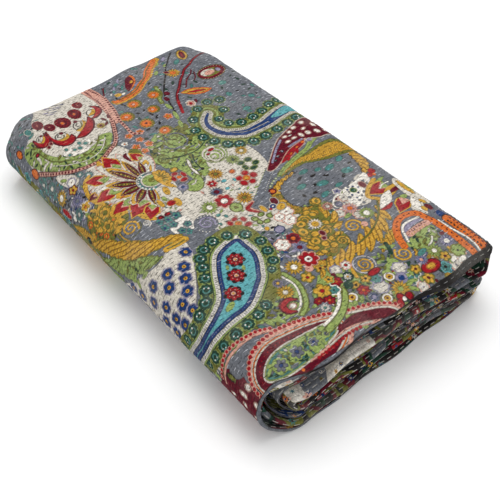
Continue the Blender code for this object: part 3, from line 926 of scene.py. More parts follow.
# the first lotus
LOTUS = """
ovals olive: -100 -58 9 7 20, -6 -104 8 10 30
taper gold: -114 -103 2, -102 -106 5, -84 -108 3; -100 -124 1.5, -92 -135 3.2, -76 -142 2.6, -60 -141 3.2,
 -48 -136 1.2; -36 -130 3, -28 -137 4.4, -18 -130 2; -6 -118 2, 2 -115 4, 12 -108 3
petals cream pink white: -87 -51 9.5, -112 -78 8, -108 -110 9, -76 -137 10.5, -44 -130 10, -14 -120 9,
 8 -98 8
tulips red gold lime: -103 -93 12.5 186, -87 -124 10.6 238, -57 -129 11 268, -28 -127 10.2 276,
 -14 -112 14 302, 1 -104 11 318, -94 -62 8 200
tulips burgundy gold gold: -68 -140 5.4 262
taper burgundy: -106 -68 1, -102 -72 2.6, -90 -71 1
petals gold cream white: -80 -57 7, -98 -80 5.6, -98 -103 7.4, -71 -120 7.4, -45 -122 8.6, -24 -113 7,
 -2 -92 6
taper gold: -54 -122 1, -48 -112 2.6, -46 -100 1
taper orange: -40 -120 0.6, -43 -110 1.6, -44 -98 0.6
seeds: -90 -101 4.2, -67 -114 5.2, -45 -114 5, -22 -108 4.8, -8 -93 3.8, -92 -79 3.6, -82 -65 3.8
line cream 1: -88 -53, -74 -54, -64 -65
ovals lime: -80 -113 2.4 7 30, -53 -116 2.2 6 -10, -33 -115 2.2 5 10, -92 -89 6 2 10
rounds cream: -45 -74 17
rounds slate: -45 -74 15.4
beads teal 2.2 6: -59 -72, -54 -85, -44 -88, -33 -84, -31 -73
rounds cream: -45 -73 12.4
rounds lime: -45 -73 10.4
rounds olive: -45 -72 4
beads white 1.3 4.6: -59 -76, -53 -86, -44 -89, -35 -86, -31 -77
edged gold cream: -18 -70 8 4 -12, 6 -71 8 4.4 -12, -4 -88 7.6 3
edged lime cream: -8 -80 4.6 2.8
edged red orange: 3 -78 3.6 4.6
ovals burgundy: 15 -92 3 4, 15 -101 3 3.8
ovals red: 15 -91 1.6 2.4, 15 -102 1.6 2.2
ovals gold: -41 -60 13 8.6
domes gold: -41 -61 13.6 9.4
taper gold: -34 -66 2, -24 -61 3.4, -16 -57 0.8
"""
# the cream middle of the top
CENTRE = """
bursts gold burgundy olive: -5 -7 9.6 0.26, 49 -7 10.6 0.26
bursts gold olive cream: -20 45 8.6 0.3
bursts lime olive green: -13 26 9.6 0.2
rounds green: -11 25 1.6
edged green lime: -1 40 3.4 4.4, 9 44 3 4.4 10, 15 36 2.6 4.6, -1 29 3 4, 7 28 1.6 2.6, 11 28 1.6 2.6
edged red pink: 25 27 4.2 4.2, 33 19 3.6 3.8, 29 9 4.8 3.8 20, 19 10 3.8 3.8, 16 21 3.6 4.2
rounds orange: 24 17 4.8
rounds gold: 24 17 2.6
edged orange pink: 4 11 3.2 3.2
ovals aqua: 17 4 3 2, 11 -7 2.6 3.6, 24 -12 2.4 3
flowers six red white pink: 6 -21 5.8
bursts slate navy burgundy: 21 -26 8.6 0.4
flowers round red white pink: 39 -29 10.8
bursts lime olive white: 37 -49 10.4 0.34
edged lime olive: 56 -25 7.2 6.6
ovals olive: 56 -25 3 2 30
taper pink: 61 -5 2.4, 66 -16 3.4, 80 -9 2.4
taper red: 62 -6 1.2, 67 -17 2.4, 79 -10 1
edged lime olive: 91 -5 3.4 2.4, 83 -11 2.4 3.4, 96 -13 2.4 3.4, 84 -21 3.4 2.9 20, 92 -20 3.2 2.4
flowers soft white pink pink: 98 14 8.4, 110 8 8, 100 2 6
edged gold cream: 88 15 4.6 6.6 20, 78 -3 6.6 3, 105 -21 3 3
edged red pink: 76 -31 3.8 2.8, 86 -32 3 4.4, 70 -39 2.3 3.6, 72 -47 3.8 2.8, 86 -42 1.6 1.8
edged orange gold: 78 -40 3 3.4
ovals teal: 60 -43 3 2.2, 53 -49 2.4 3.2, 66 -56 3 2
rounds slate: 55 -68 14
curls lavender slate: 55 -67 12 40
beads white 0.9 4: 42 -72, 46 -58, 58 -53, 68 -60, 68 -74, 58 -81
"""
# the aqua paisley: its rim and its ring flowers
AQUA = """
98 -57, 109 -57, 122 -57, 135 -62, 148 -71, 155 -76, 163 -87, 171 -99, 176 -111, 177 -128, 176 -150,
 173 -175, 166 -196, 152 -222, 133 -246, 112 -264, 108 -260, 130 -240, 148 -217, 161 -192, 168 -168,
 167 -150, 163 -136, 156 -124, 146 -116, 128 -106, 112 -95, 103 -86, 99 -75, 97 -64
"""
AQUA_RINGS = """
rings: 82 -80 7.4, 86 -95 7.4, 94 -106 7.4, 106 -112 7.4, 120 -119 7.4, 133 -128 7.4, 144 -138 7.4,
 149 -152 7.4, 151 -169 7.4, 147 -187 7.4, 140 -205 7, 188 -94 6.6, 192 -108 6.6, 194 -123 6.6, 194 -139 6.6,
 192 -156 6.4, 189 -172 6.4, 183 -188 6.4, 174 -206 6.4
"""
# flowers strewn at the right of the face, in their order down it
RIGHT_FLOWERS = """
bursts lavender navy white: 246 117 9 0.38
flowers soft lime charcoal olive: 262 117 8
ovals white: 272 112 3 6, 267 104 3 5 30
bursts lime olive white: 247 95 9.6 0.3
flowers five gold burgundy olive: 259 99 6, 252 59 5.6
flowers five teal charcoal aqua: 269 88 6.4
edged red burgundy: 259 76 7.4 12
edged gold orange: 259 76 3.2 5.4
bursts lavender navy pink: 247 74 7.4 0.3
ovals teal: 240 83 3.4 7.4 10
line green 2.4: 206 62, 213 60, 220 56
flowers soft cream white lavender: 240 47 8, 246 12 8.6, 199 -7 6
rounds lavender: 251 38 6.8
rounds navy: 251 38 3.6
flowers soft teal charcoal lavender: 235 16 6.4
bursts gold olive lime: 260 27 10.4 0.3
rounds burgundy: 271 28 4.8, 267 19 4.8, 272 14 4.4
rounds red: 271 28 3.6, 267 19 3.6, 272 14 3.4
rounds white: 271 21 2.4
edged red burgundy: 227 22 3.4 8
flowers five gold charcoal olive: 228 8 5.4, 228 -6 5.4
flowers round white red pink: 201 6 5.4
flowers six red orange burgundy: 238 -5 6.6, 211 -18 6.2
rounds green: 214 -4 6.4, 223 -12 5.4
flowers daisy white gold green: 214 -4 4.6
rounds burgundy: 203 -14 3
flowers five gold green lime: 204 -22 5.4
bursts slate navy lavender: 251 -3 8 0.3
ovals lime: 207 -9 4 2.6 30, 245 -24 4.4 2.6 -30
flowers soft teal charcoal white: 218 -28 6.2
flowers five gold red olive: 211 -38 9.4, 188 -37 7
rounds pink: 180 -27 4.6
flowers six red orange burgundy: 225 -41 5.6, 219 -50 4.6
flowers daisy white teal slate: 229 -51 5
edged lavender navy: 115 -11 5 5.4
flowers round burgundy orange red: 135 -9 7.2
bursts lavender navy burgundy: 150 -13 8.6 0.36
rounds burgundy: 169 -18 11
flowers round red white pink: 169 -18 11
rounds burgundy: 169 -18 1.6
flowers soft white pink pink: 135 -25 8.6
bursts gold olive white: 168 -38 10.6 0.34
rings: 96 -45 7.4, 115 -39 7, 131 -43 7, 146 -48 6.6, 155 -58 5.4, 85 -62 7
line olive 3.2: 168 -53, 185 -50, 200 -54, 213 -62, 220 -74
line lime 2.2: same
line white 1.2: 170 -57, 185 -54, 198 -58, 209 -66, 215 -76
bursts gold olive cream: 188 -68 9.8 0.3
taper burgundy: 202 -65 1.4, 197 -73 3.4, 199 -82 4.2, 208 -83 3.8, 214 -76 1.6
taper red: 202 -66 0.8, 197 -73 2.4, 200 -82 3, 208 -82 2.6, 213 -76 0.8
edged white pink: 206 -74 2.8 3.4
bursts lavender charcoal gold: 174 -66 6.4 0.3
rounds charcoal: 207 -91 2
"""
# the dark paisley at the right, the net below it and the next layer's strip
RIGHT_PAISLEY = """
area burgundy: 207 -172, 226 -164, 238 -166, 252 -162, 262 -154, 300 -146, 300 -262, 146 -262, 160 -240,
 186 -222, 198 -206, 205 -188
edged white pink: 238 -169 3.6 3, 236 -180 5.4 2.4, 256 -178 4.6 2.6 -20, 222 -196 4.6 2.6 50,
 240 -194 4.6 2.6 100, 258 -196 4.6 2.6 30, 272 -186 4.6 2.6 60, 214 -212 4.6 2.6 20, 232 -212 4.6 2.6 80,
 250 -212 4.6 2.6 130, 268 -210 4.6 2.6 40, 200 -226 4.6 2.6 70, 220 -228 4.6 2.6 120, 240 -228 4.6 2.6 30,
 260 -228 4.6 2.6 90, 186 -242 4.6 2.6 20, 206 -244 4.6 2.6 80, 226 -246 4.6 2.6 60, 248 -246 4.6 2.6 110
area slate: 210 -118, 216 -113, 218 -130, 222 -148, 228 -162, 224 -171, 212 -172, 208 -158, 206 -138
edged olive charcoal: 216 -175 6 2.4 10
line pink 1.5: 215 -109, 210 -122, 207 -132, 205 -145, 204 -158, 205 -168, 207 -178, 211 -189
beads pink 2.5 5: 213 -108, 207 -120, 203 -134, 200 -146, 198 -158, 199 -167, 202 -178, 205 -189
beads red 1.8 5: same
coats 8.8 pink 4.6 cream 3.4 orange 1.8 cream 0 burgundy: 246 -54, 241 -62, 234 -80, 229 -100, 226 -120,
 228 -137, 235 -150, 246 -157, 256 -156, 266 -146, 274 -126, 276 -100, 270 -70, 260 -54
beads red 0.9 5.2: 240 -76, 233 -100, 230 -120, 232 -136, 238 -147, 248 -153
beads pink 2.8 5.3: 238 -51, 232 -62, 226 -76, 221 -90, 218 -104, 217 -118, 218 -130, 220 -141, 226 -151,
 235 -160, 246 -165, 258 -164, 268 -156
beads red 2.1 5.3: same
area slate: 276 -14, 300 -14, 300 -118, 273 -112, 274 -60
coats 3.2 cream 1.4 lime 0 teal: 246 -62, 242 -82, 239 -100, 237 -115, 238 -130, 242 -140, 249 -147,
 256 -141, 261 -128, 262 -112, 261 -95, 259 -78, 255 -62
strewn 54 leafy: 250 -106 10 38 3
flowers six slate navy lime: 252 -72 3, 251 -88 5.6, 249 -108 7.6, 250 -129 7
taper burgundy: 276 2 3, 272 -5 5.4, 267 -13 6.4, 262 -25 6.6, 258 -39 5.6, 257 -51 3.6, 256 -60 0.8
taper pink: 247 -40 2, 253 -25 3, 260 -9 3.4, 268 3 3.2, 276 10 3
line cream 1.2: 249 -38, 255 -24, 262 -9, 269 1, 276 7
beads pink 2.5 5.6: 245 -38, 250 -24, 257 -8, 266 5, 274 12
beads red 1.9 5.6: same
taper pink: 275 -16 1.6, 269 -30 2.2, 264 -44 2.4, 262 -58 2.2, 264 -80 1.6, 265 -104 1
line cream 0.9: 270 -26, 265 -42, 263 -56, 264 -78
beads red 2 4.6: 268 -38, 266 -54, 267 -72, 267 -98
line white 1.9: 224 -27, 231 -33, 238 -43, 242 -54, 244 -66
taper olive: 221 -18 1.4, 228 -22 3.4, 237 -31 3.8, 244 -42 4, 248 -54 4.4, 250 -66 4.6
taper lime: 222 -19 0.8, 228 -22 2.5, 237 -31 2.9, 244 -42 3.1, 248 -54 3.5, 250 -66 3.7
rounds orange: 267 -116 1.8
"""


def rows_of(text):
    """The rows of numbers that a text gives, with a comma between them."""
    return [tuple(float(word) for word in row.split()) for row in text.split(",")]


def draw(cloth, sheet):
    """Draw the marks of a sheet, as the list of kinds tells."""
    last = ""
    for mark in sheet.strip().replace("\n ", " ").splitlines():
        head, rows = mark.split(": ")
        kind, *values = head.split()
        values = [float(value) if value[-1].isdigit() else value for value in values]
        last = last if rows == "same" else rows
        for path in last.split(";"):
            MARKS[kind](cloth, *values, *rows_of(path))


def line(cloth, ink, half, *places):
    stem(cloth, ink, [(x, v, half) for x, v in places])


def taper(cloth, ink, *knots):
    stem(cloth, ink, knots)


def area(cloth, ink, *rim):
    where, depth = area_depth(cloth, rim)
    cloth.lay(ink, where, depth, 0.5)


def coats(cloth, *values):
    names = [value for value in values if isinstance(value, str)]
    grown = values[:2 * len(names):2]
    where, depth = area_depth(cloth, values[2 * len(names):])
    cloth.lay_coats(where, depth, zip(grown, names), 0.4)


def beads(cloth, ink, radius, pitch, *places):
    for x, v, _ in paces(smooth_path(places), pitch / 2, pitch):
        dot(cloth, ink, x, v, radius)


def ovals(cloth, ink, *rows):
    for row in rows:
        spot(cloth, ink, *row, line=0.5)


def edged(cloth, ink, edge, *rows):
    for x, v, long, wide, *turn in rows:
        spot(cloth, edge, x, v, long + 1.2, wide + 1.2, *turn, line=0.6)
        spot(cloth, ink, x, v, long, wide, *turn, line=0.4)


def rounds(cloth, ink, *rows):
    for x, v, radius in rows:
        dot(cloth, ink, x, v, radius, 0.4)


def rings(cloth, *rows):
    """Dark flowers, a little scalloped and with a lime rim, round a paler ring with two white dots."""
    for x, v, radius in rows:
        spot(cloth, "lime", x, v, radius + 1.2, radius + 1.0, 0, 0.4)
    for number, (x, v, radius) in enumerate(rows):
        radius *= 1.06
        start = 19 * number         # degrees, so that neighbours differ
        where, a, b = cloth.around(x, v, radius + 1.0)
        p, q = petal_frame(a, b, 9, start)
        far = np.hypot(a, b)
        petals = np.maximum(oval(p - radius * 0.72, q, radius * 0.30, radius * 0.27), radius * 0.88 - far)
        cloth.lay("green", where, petals)
        cloth.lay("teal", where, radius * 0.56 - far)
        cloth.lay("green", where, radius * 0.36 - far)
        dot(cloth, "white", *off_to(x, v, start, radius * 0.40), radius * 0.13)
        dot(cloth, "white", *off_to(x, v, start + 90, radius * 0.42), radius * 0.11)


def flowers(cloth, kind, ink, eye, edge, *rows):
    for x, v, radius in rows:
        flower(cloth, kind, x, v, radius, ink, eye, edge, 11 * x)


RAYS = 14


def bursts(cloth, ground, rays, middle, *rows):
    """Spiky round flowers with thin rays running out from their middle."""
    for x, v, radius, share in rows:
        where, a, b = cloth.around(x, v, radius + 1.0)
        p, q = petal_frame(a, b, RAYS, 7 * x)
        far = np.hypot(a, b)
        spikes = oval(p - radius * 0.6, q, radius * 0.42, radius * 0.12)
        cloth.lay(ground, where, np.maximum(spikes, radius * 0.66 - far), 0.5)
        p, q = petal_frame(a, b, RAYS, 7 * x + 180 / RAYS)
        cloth.lay(rays, where, np.minimum(0.42 - np.abs(q), radius * 0.8 - far))
        cloth.lay(middle, where, radius * share - far, 0.6)


def daisies(cloth, *rows):
    for x, v, radius in rows:
        for ink, share in (("olive", 1.1), ("white", 0.98), ("gold", 0.64), ("burgundy", 0.22)):
            dot(cloth, ink, x, v, radius * share, 0.5)


def plumes(cloth, ink, edge, *knots):
    """A feathery leaf whose strands run off both sides of its middle."""
    feather(cloth, knots, ink, edge, 2.2, 6.5, 1.4, 0.5, lambda along, side: along - 1.1 * np.abs(side), 1.0)


def feathers(cloth, ink, edge, lean, *knots, lobe=2.2, pitch=5.4):
    """A feather whose strands all lean the same way, at lean degrees from its middle line."""
    a, b = math.sin(abs(math.radians(lean))), math.copysign(math.cos(math.radians(lean)), lean)
    feather(cloth, knots, ink, edge, lobe, pitch, 1.0, 0.4, lambda along, side: along * a + side * b, 0.6)


def fronds(cloth, ink, edge, lean, *knots):
    """As feathers, with each strand a leaf of its own."""
    feathers(cloth, ink, edge, lean, *knots, lobe=9.0, pitch=11.0)


def tulips(cloth, ink, edge, notch, *rows):
    """Buds with two horns, a leaf between them, and a point at the end that they are turned to."""
    for x, v, size, degrees in rows:
        where, a, b = cloth.around(x, v, size + 2.0)
        p, q = turned(a, b, degrees)
        half = 0.74 * size * np.where(p < 0, 1 - 0.20 * (p / size) ** 2, 1 - p / (1.15 * size))
        depth = np.minimum(0.85 * (half - np.abs(q)), p + 0.85 * size)
        gap = 0.75 * (0.66 * (-0.05 * size - p) - np.abs(q))
        cloth.lay(edge, where, np.minimum(depth, -gap) + 1.5)
        cloth.lay("pink", where, np.minimum(gap + 0.5, p + 0.9 * size))
        cloth.lay(ink, where, np.minimum(depth, -gap), 0.4)
        cloth.lay(notch, where, np.minimum(gap - 1.3, p + 1.1 * size), 0.3)


CURL_TURNS = 1.9


def curls(cloth, ink, ground, *rows):
    """Spirals that run inwards on a round ground."""
    for x, v, radius, degrees in rows:
        dot(cloth, ground, x, v, radius, 0.4)
        shares = np.linspace(0.0, 1.0, 14)
        angle = np.radians(degrees) + shares * CURL_TURNS * 2 * math.pi
        far = radius * (0.86 - 0.74 * shares)
        half = radius * 0.11 * (1.15 - 0.5 * shares)
        stem(cloth, ink, np.stack([x + far * np.cos(angle), v + far * np.sin(angle), half], -1))


def strewn(cloth, seed, mix_name, region):
    """Small flowers and leaves strewn over an oval, no two closer than its gap."""
    rng = np.random.default_rng(int(seed))
    x, v, half_x, half_v, gap = region
    kinds = MIX_KINDS[mix_name]
    often = np.array([kind[-1] for kind in kinds], float)
    placed = np.empty((0, 2))
    for _ in range(int(9 * half_x * half_v / gap ** 2)):
        share = rng.uniform(-1, 1, 2)
        spin, size = rng.uniform(0, 90), rng.uniform(0.0, 1.0)
        kind, *inks, low, high, _ = kinds[rng.choice(len(kinds), p=often / often.sum())]
        place = np.array([x + share[0] * half_x, v + share[1] * half_v])
        if np.hypot(*share) > 1 or (len(placed) and np.hypot(*(placed - place).T).min() < gap):
            continue
        placed = np.vstack([placed, place])
        radius = mix(float(low), float(high), size)
        if kind == "dot":
            dot(cloth, *inks, *place, radius)
        elif kind == "leaf":
            spot(cloth, *inks, *place, radius, radius * 0.42, 4 * spin, 0.5)
        else:
            flower(cloth, kind, *place, radius, *inks, spin)


HEART = (-45, -78)          # where the first lotus's petals start


def from_heart(x, v, share):
    """The place a share of the way from the heart of the first lotus to (x, v)."""
    return mix(HEART[0], x, share), mix(HEART[1], v, share)


def petals(cloth, ink, edge, core, *rows):
    """Petals from the heart of the first lotus to their tips (x, v, half width)."""
    for tip_x, tip_v, half in rows:
        course = ((0.15, 0.5), (0.58, 1.0), (0.86, 0.6), (1.0, 0.04))
        knots = [(*from_heart(tip_x, tip_v, far), half * wide) for far, wide in course]
        band = Band(cloth, knots, 2.0)
        cloth.lay(edge, band.where, band.depth + 1.2)
        cloth.lay(ink, band.where, band.depth, 0.6)
        stem(cloth, core, [(*from_heart(x, v, 0.86), wide * 0.55) for x, v, wide in knots])


def seeds(cloth, *rows):
    """The speckled hearts of the first lotus's petals, from its middle out to (x, v, half width)."""
    for x, v, half in rows:
        course = [from_heart(x, v, far) for far in (0.32, 0.66, 1.0)]
        for ink, share in (("cream", 1.34), ("burgundy", 1.1), ("olive", 0.42)):
            stem(cloth, ink, [(*place, half * share * wide) for place, wide in zip(course, (0.6, 1.0, 0.2))])
        beads(cloth, "gold", 1.0, 3.0, *course)
        beads(cloth, "burgundy", 0.8, 4.8, *course)


def domes(cloth, ink, *rows):
    """A half round flower: petals round its rim and fine lines running in."""
    for x, v, long, wide in rows:
        for degrees in (-10, 25, 60, 90, 120, 155, 190):
            a, b = off_to(0, 0, degrees, 1.0)
            spot(cloth, ink, x + 0.82 * long * a, v + 0.82 * wide * b, 4.2, 3.6, degrees, 0.7)
            spot(cloth, "olive", x + 0.5 * long * a, v + 0.5 * wide * b, 3.4, 0.8, degrees)


MARKS = {mark.__name__: mark for mark in (
    line, taper, area, coats, beads, ovals, edged, rounds, rings, flowers, bursts, daisies, plumes, feathers,
    fronds, tulips, curls, strewn, petals, seeds, domes)}


def draw_curl(cloth):
    """The curl's band of blue between two ticked edges, and ring flowers on olive on both its sides."""
    curl = rows_of(CURL)
    band = Band(cloth, curl, 26.0)
    cloth.lay_coats(band.where, band.depth, ((20.0, "olive"), (13.0, "lime"), (10.0, "olive")), 0.3)
    draw(cloth, CURL_RINGS)
    cloth.lay_coats(band.where, band.depth, ((8.2, "olive"), (7.2, "lime"), (6.0, "cream")), 0.5)
    for x, v, heading in outline_places(curl, 4.0, 2.7):
        spot(cloth, "olive", x, v, 0.5, 1.5, heading)
    cloth.lay_coats(band.where, band.depth, ((1.8, "white"), (0.8, "navy")), 0.5)
    draw(cloth, CURL_TOP)


def draw_aqua_paisley(cloth):
    """Navy round aqua, a ticked edge, ring flowers on olive, and three dotted flowers inside."""
    rim = rows_of(AQUA)
    where, depth = area_depth(cloth, rim, 24.0)
    tail = np.clip((cloth.v[where[0], None] + 200) / 12, -FAR, FAR)
    cloth.lay("olive", where, np.minimum(np.where(depth > -25, depth + 24, -FAR), tail))
    draw(cloth, AQUA_RINGS)
    cloth.lay_coats(where, depth, ((10.6, "green"), (9.6, "lime"), (7.6, "white"), (2.9, "charcoal"),
                                   (2.2, "navy"), (-2.4, "aqua")), 0.4)
    for x, v, heading in rim_places(rim, 5.2, 2.6):
        spot(cloth, "slate", x, v, 0.6, 1.9, heading)
    for x, v, heading in rim_places(rim, 0.0, 3.2):
        spot(cloth, "lavender", x, v, 0.9, 0.4, heading)
    for leaf in ((166, -123, 3.4, 7.0, 20), (134, -79, 4.0, 2.0, -30), (123, -92, 4.0, 1.8, -30)):
        spot(cloth, "lime", *leaf)
    for x, v in ((119, -78), (138, -92), (155, -110)):
        flower(cloth, "round", x, v, 11.2, "charcoal", "burgundy")
        flower(cloth, "round", x, v, 9.2, "red", "burgundy", None, 20)
        for turn in range(7):
            dot(cloth, "pink", *off_to(x, v, 360 * turn / 7 + 20.05, 5.4), 0.8)
        dot(cloth, "pink", x, v, 2.6)
        dot(cloth, "gold", x, v, 1.2)


def draw_navy_flowers(cloth):
    for number, (x, v) in enumerate(rows_of(NAVY_FLOWERS)):
        flower(cloth, "soft", x, v, 7.0, "navy", "gold", "lavender", 17 * number)
        dot(cloth, "gold", x, v, 2.3)
        dot(cloth, "burgundy", x, v, 0.9)


def draw_print(cloth):
    """The whole print. What comes later lies over what came before."""
    for motif in (GROUNDS, STREWN, CORNER, draw_curl, OVAL, CRESCENT, ACANTHUS, draw_navy_flowers,
                  LEFT_PAISLEY, LOWER_LEFT, FEATHERS, FERNS, LOTUS, CENTRE, draw_aqua_paisley, RIGHT_FLOWERS,
                  RIGHT_PAISLEY):
        if isinstance(motif, str):
            draw(cloth, motif)
        else:
            motif(cloth)


# ================================================================ materials
ROW_PITCH = 5.25 * MM       # of the rows of stitches, along the block


def linear(rgb):
    shares = [channel / 255 for channel in rgb]
    return tuple(s / 12.92 if s <= 0.04045 else ((s + 0.055) / 1.055) ** 2.4 for s in shares) + (1.0,)


def feed(tree, socket, value):
    if isinstance(value, bpy.types.NodeSocket):
        tree.links.new(value, socket)
    elif value is not None:
        socket.default_value = value


def node(tree, kind, *values, **settings):
    """A node with its inputs fed in their order; settings named of the node are set on it."""
    made = tree.nodes.new("ShaderNode" + kind)
    for name, value in settings.items():
        setattr(made, name, value)
    for socket, value in zip(made.inputs, values):
        feed(tree, socket, value)
    return made


def calc(tree, operation, *values):
    return node(tree, "Math", *values, operation=operation).outputs[0]


def vector(tree, operation, *values):
    return node(tree, "VectorMath", *values, operation=operation).outputs[0]


def noise(tree, place, scale, detail, roughness):
    return node(tree, "TexNoise", place, None, scale, detail, roughness, noise_dimensions="2D").outputs[0]


def blend(tree, share, low, high):
    made = node(tree, "Mix", data_type="RGBA")
    for socket, value in zip((made.inputs[0], made.inputs[6], made.inputs[7]), (share, low, high)):
        feed(tree, socket, value)
    return made.outputs[2]


def remap(tree, value, low, high, new_low=0.0, new_high=1.0, kind="SMOOTHSTEP"):
    return node(tree, "MapRange", value, low, high, new_low, new_high, interpolation_type=kind).outputs[0]


SOCKETS = {"value": "NodeSocketFloat", "colour": "NodeSocketColor", "vector": "NodeSocketVector"}


def new_group(name, takes, gives):
    """An empty node group with named sockets, as (group, inner tree's input sockets, output node)."""
    group = bpy.data.node_groups.new(name, "ShaderNodeTree")
    for title, kind, default in takes:
        socket = group.interface.new_socket(title, in_out="INPUT", socket_type=SOCKETS[kind])
        if default is not None:
            socket.default_value = default
    for title, kind in gives:
        group.interface.new_socket(title, in_out="OUTPUT", socket_type=SOCKETS[kind])
    source = group.nodes.new("NodeGroupInput")
    target = group.nodes.new("NodeGroupOutput")
    return group, source.outputs, target.inputs


def use(tree, group, **values):
    made = tree.nodes.new("ShaderNodeGroup")
    made.node_tree = group
    for title, value in values.items():
        feed(tree, made.inputs[title.replace("_", " ")], value)
    return made.outputs


def make_ink_group():
    """One ink laid over what is there: its colour counts where its depth is above 0, with a soft edge."""
    group, given, made = new_group(
        "ink", (("depth", "value", 0.0), ("colour", "colour", None), ("colours", "vector", None),
                ("weight", "value", 0.0), ("deepest", "value", -10.0)),
        (("colours", "vector"), ("weight", "value"), ("deepest", "value")))
    share = remap(group, given["depth"], -0.34, 0.34)
    feed(group, made["colours"], vector(group, "MULTIPLY_ADD", given["colour"], share, given["colours"]))
    feed(group, made["weight"], calc(group, "ADD", given["weight"], share))
    feed(group, made["deepest"], calc(group, "MAXIMUM", given["deepest"], given["depth"]))
    return group


def make_weave_group():
    """Plain weave of uneven threads: a shade round 1 and a height, from a place on the cloth in metres."""
    group, given, made = new_group(
        "cotton weave", (("place", "vector", None), ("slub", "value", 0.12), ("fuzz", "value", 0.05)),
        (("shade", "value"), ("height", "value")))
    heights = []
    shade = 1.0
    for stretch in ((260.0, 2600.0, 1.0), (2600.0, 260.0, 1.0)):
        threads = noise(group, vector(group, "MULTIPLY", given["place"], stretch), 1.0, 2.0, 0.6)
        heights.append(threads)
        shade = calc(group, "MULTIPLY_ADD", calc(group, "SUBTRACT", threads, 0.5), given["slub"], shade)
    fuzz = calc(group, "SUBTRACT", noise(group, given["place"], 900.0, 3.0, 0.7), 0.5)
    feed(group, made["shade"], calc(group, "MULTIPLY_ADD", fuzz, given["fuzz"], shade))
    feed(group, made["height"], calc(group, "ADD", *heights))
    return group


PRINT_DEPTH = 0.82          # how bright the print is under these lights
WASHED_OUT = (206, 202, 194)


def make_wear_group():
    """Washed cotton: patches where the print has paled, and a few that have kept their depth."""
    group, given, made = new_group(
        "washed print", (("colour", "colour", None), ("place", "vector", None), ("fading", "value", 0.10)),
        (("colour", "colour"),))
    patches = remap(group, noise(group, given["place"], 14.0, 3.0, 0.6), 0.42, 0.70)
    pale = calc(group, "MULTIPLY", patches, given["fading"])
    washed = blend(group, pale, given["colour"], linear(WASHED_OUT))
    depth = PRINT_DEPTH
    for scale, detail, roughness, strength in ((150.0, 3.0, 0.7, 0.6), (430.0, 2.0, 0.6, 1.1)):
        uneven = calc(group, "SUBTRACT", noise(group, given["place"], scale, detail, roughness), 0.5)
        depth = calc(group, "MULTIPLY_ADD", uneven, strength, depth)
    feed(group, made["colour"], vector(group, "MULTIPLY", washed, depth))
    return group


def make_stitch_group():
    """Rows of running stitches seen from further off, on cloth whose own place is in metres."""
    group, given, made = new_group(
        "running stitches",
        (("place", "vector", None), ("row pitch", "value", ROW_PITCH), ("pitch", "value", 2 * ROW_PITCH)),
        (("mask", "value"), ("pucker", "value")))
    split = node(group, "SeparateXYZ", given["place"]).outputs
    rows = calc(group, "DIVIDE", split[0], given["row pitch"])
    number = calc(group, "FLOOR", rows)
    off = calc(group, "ABSOLUTE", calc(group, "SUBTRACT", calc(group, "FRACT", rows), 0.5))
    shift = node(group, "TexWhiteNoise", None, number, noise_dimensions="1D").outputs[0]
    run = calc(group, "FRACT", calc(group, "ADD", calc(group, "DIVIDE", split[1], given["pitch"]), shift))
    narrow = remap(group, off, 0.07, 0.10, 1.0, 0.0)
    short = remap(group, run, 0.56, 0.60, 1.0, 0.0)
    feed(group, made["mask"], calc(group, "MULTIPLY", narrow, short))
    feed(group, made["pucker"], remap(group, off, 0.0, 0.45))
    return group


PETAL_INKS = ("red", "gold", "teal", "cream", "navy", "orange", "olive", "pink")
EYE_INKS = ("gold", "burgundy", "cream", "navy")


def make_flowers_group():
    """Small flowers strewn over a ground: the colour of each from its own chance."""
    group, given, made = new_group(
        "strewn flowers", (("place", "vector", None), ("size", "value", 80.0), ("petals", "value", 5.0),
                           ("reach", "value", 0.34), ("ground", "colour", None), ("share", "value", 0.8)),
        (("colour", "colour"), ("mask", "value")))
    spots = node(group, "TexVoronoi", given["place"], None, given["size"], voronoi_dimensions="2D")
    spots.inputs["Randomness"].default_value = 0.72
    spread = vector(group, "MULTIPLY", given["place"], given["size"])
    middle = vector(group, "MULTIPLY", spots.outputs["Position"], given["size"])
    away = node(group, "SeparateXYZ", vector(group, "SUBTRACT", spread, middle))
    angle = calc(group, "ARCTAN2", away.outputs[1], away.outputs[0])
    far = spots.outputs["Distance"]
    chance = node(group, "SeparateColor", spots.outputs["Color"]).outputs
    wave = calc(group, "COSINE", calc(group, "MULTIPLY_ADD", angle, given["petals"], chance[1]))
    edge = calc(group, "MULTIPLY", given["reach"], calc(group, "MULTIPLY_ADD", wave, 0.24, 0.76))
    petals = remap(group, calc(group, "SUBTRACT", edge, far), 0.0, 0.03)
    kept = calc(group, "LESS_THAN", chance[2], given["share"])
    mask = calc(group, "MULTIPLY", petals, kept)
    eye = remap(group, calc(group, "SUBTRACT", 0.1, far), 0.0, 0.03)
    petal_inks = colour_steps(group, chance[0], PETAL_INKS)
    eye_inks = colour_steps(group, chance[1], EYE_INKS)
    flower_colour = blend(group, eye, petal_inks, eye_inks)
    feed(group, made["colour"], blend(group, mask, given["ground"], flower_colour))
    feed(group, made["mask"], mask)
    return group


def colour_steps(tree, share, inks):
    ramp = node(tree, "ValToRGB", share)
    ramp.color_ramp.interpolation = "CONSTANT"
    stops = ramp.color_ramp.elements
    while len(stops) < len(inks):
        stops.new(0.5)
    for number, ink in enumerate(inks):
        stops[number].position = number / len(inks)
        stops[number].color = linear(INKS[ink])
    return ramp.outputs[0]


def new_cotton(name, roughness=0.9):
    """A cotton still without its colour, as (material, its tree, the place on the cloth in metres)."""
    material = bpy.data.materials.new(name)
    material.use_nodes = True
    shader = material.node_tree.nodes["Principled BSDF"]
    for title, value in (("Roughness", roughness), ("Sheen Weight", 0.03), ("Sheen Roughness", 0.5),
                         ("Specular IOR Level", 0.10)):
        shader.inputs[title].default_value = value
    return material, material.node_tree, node(material.node_tree, "UVMap", uv_map="cloth").outputs[0]


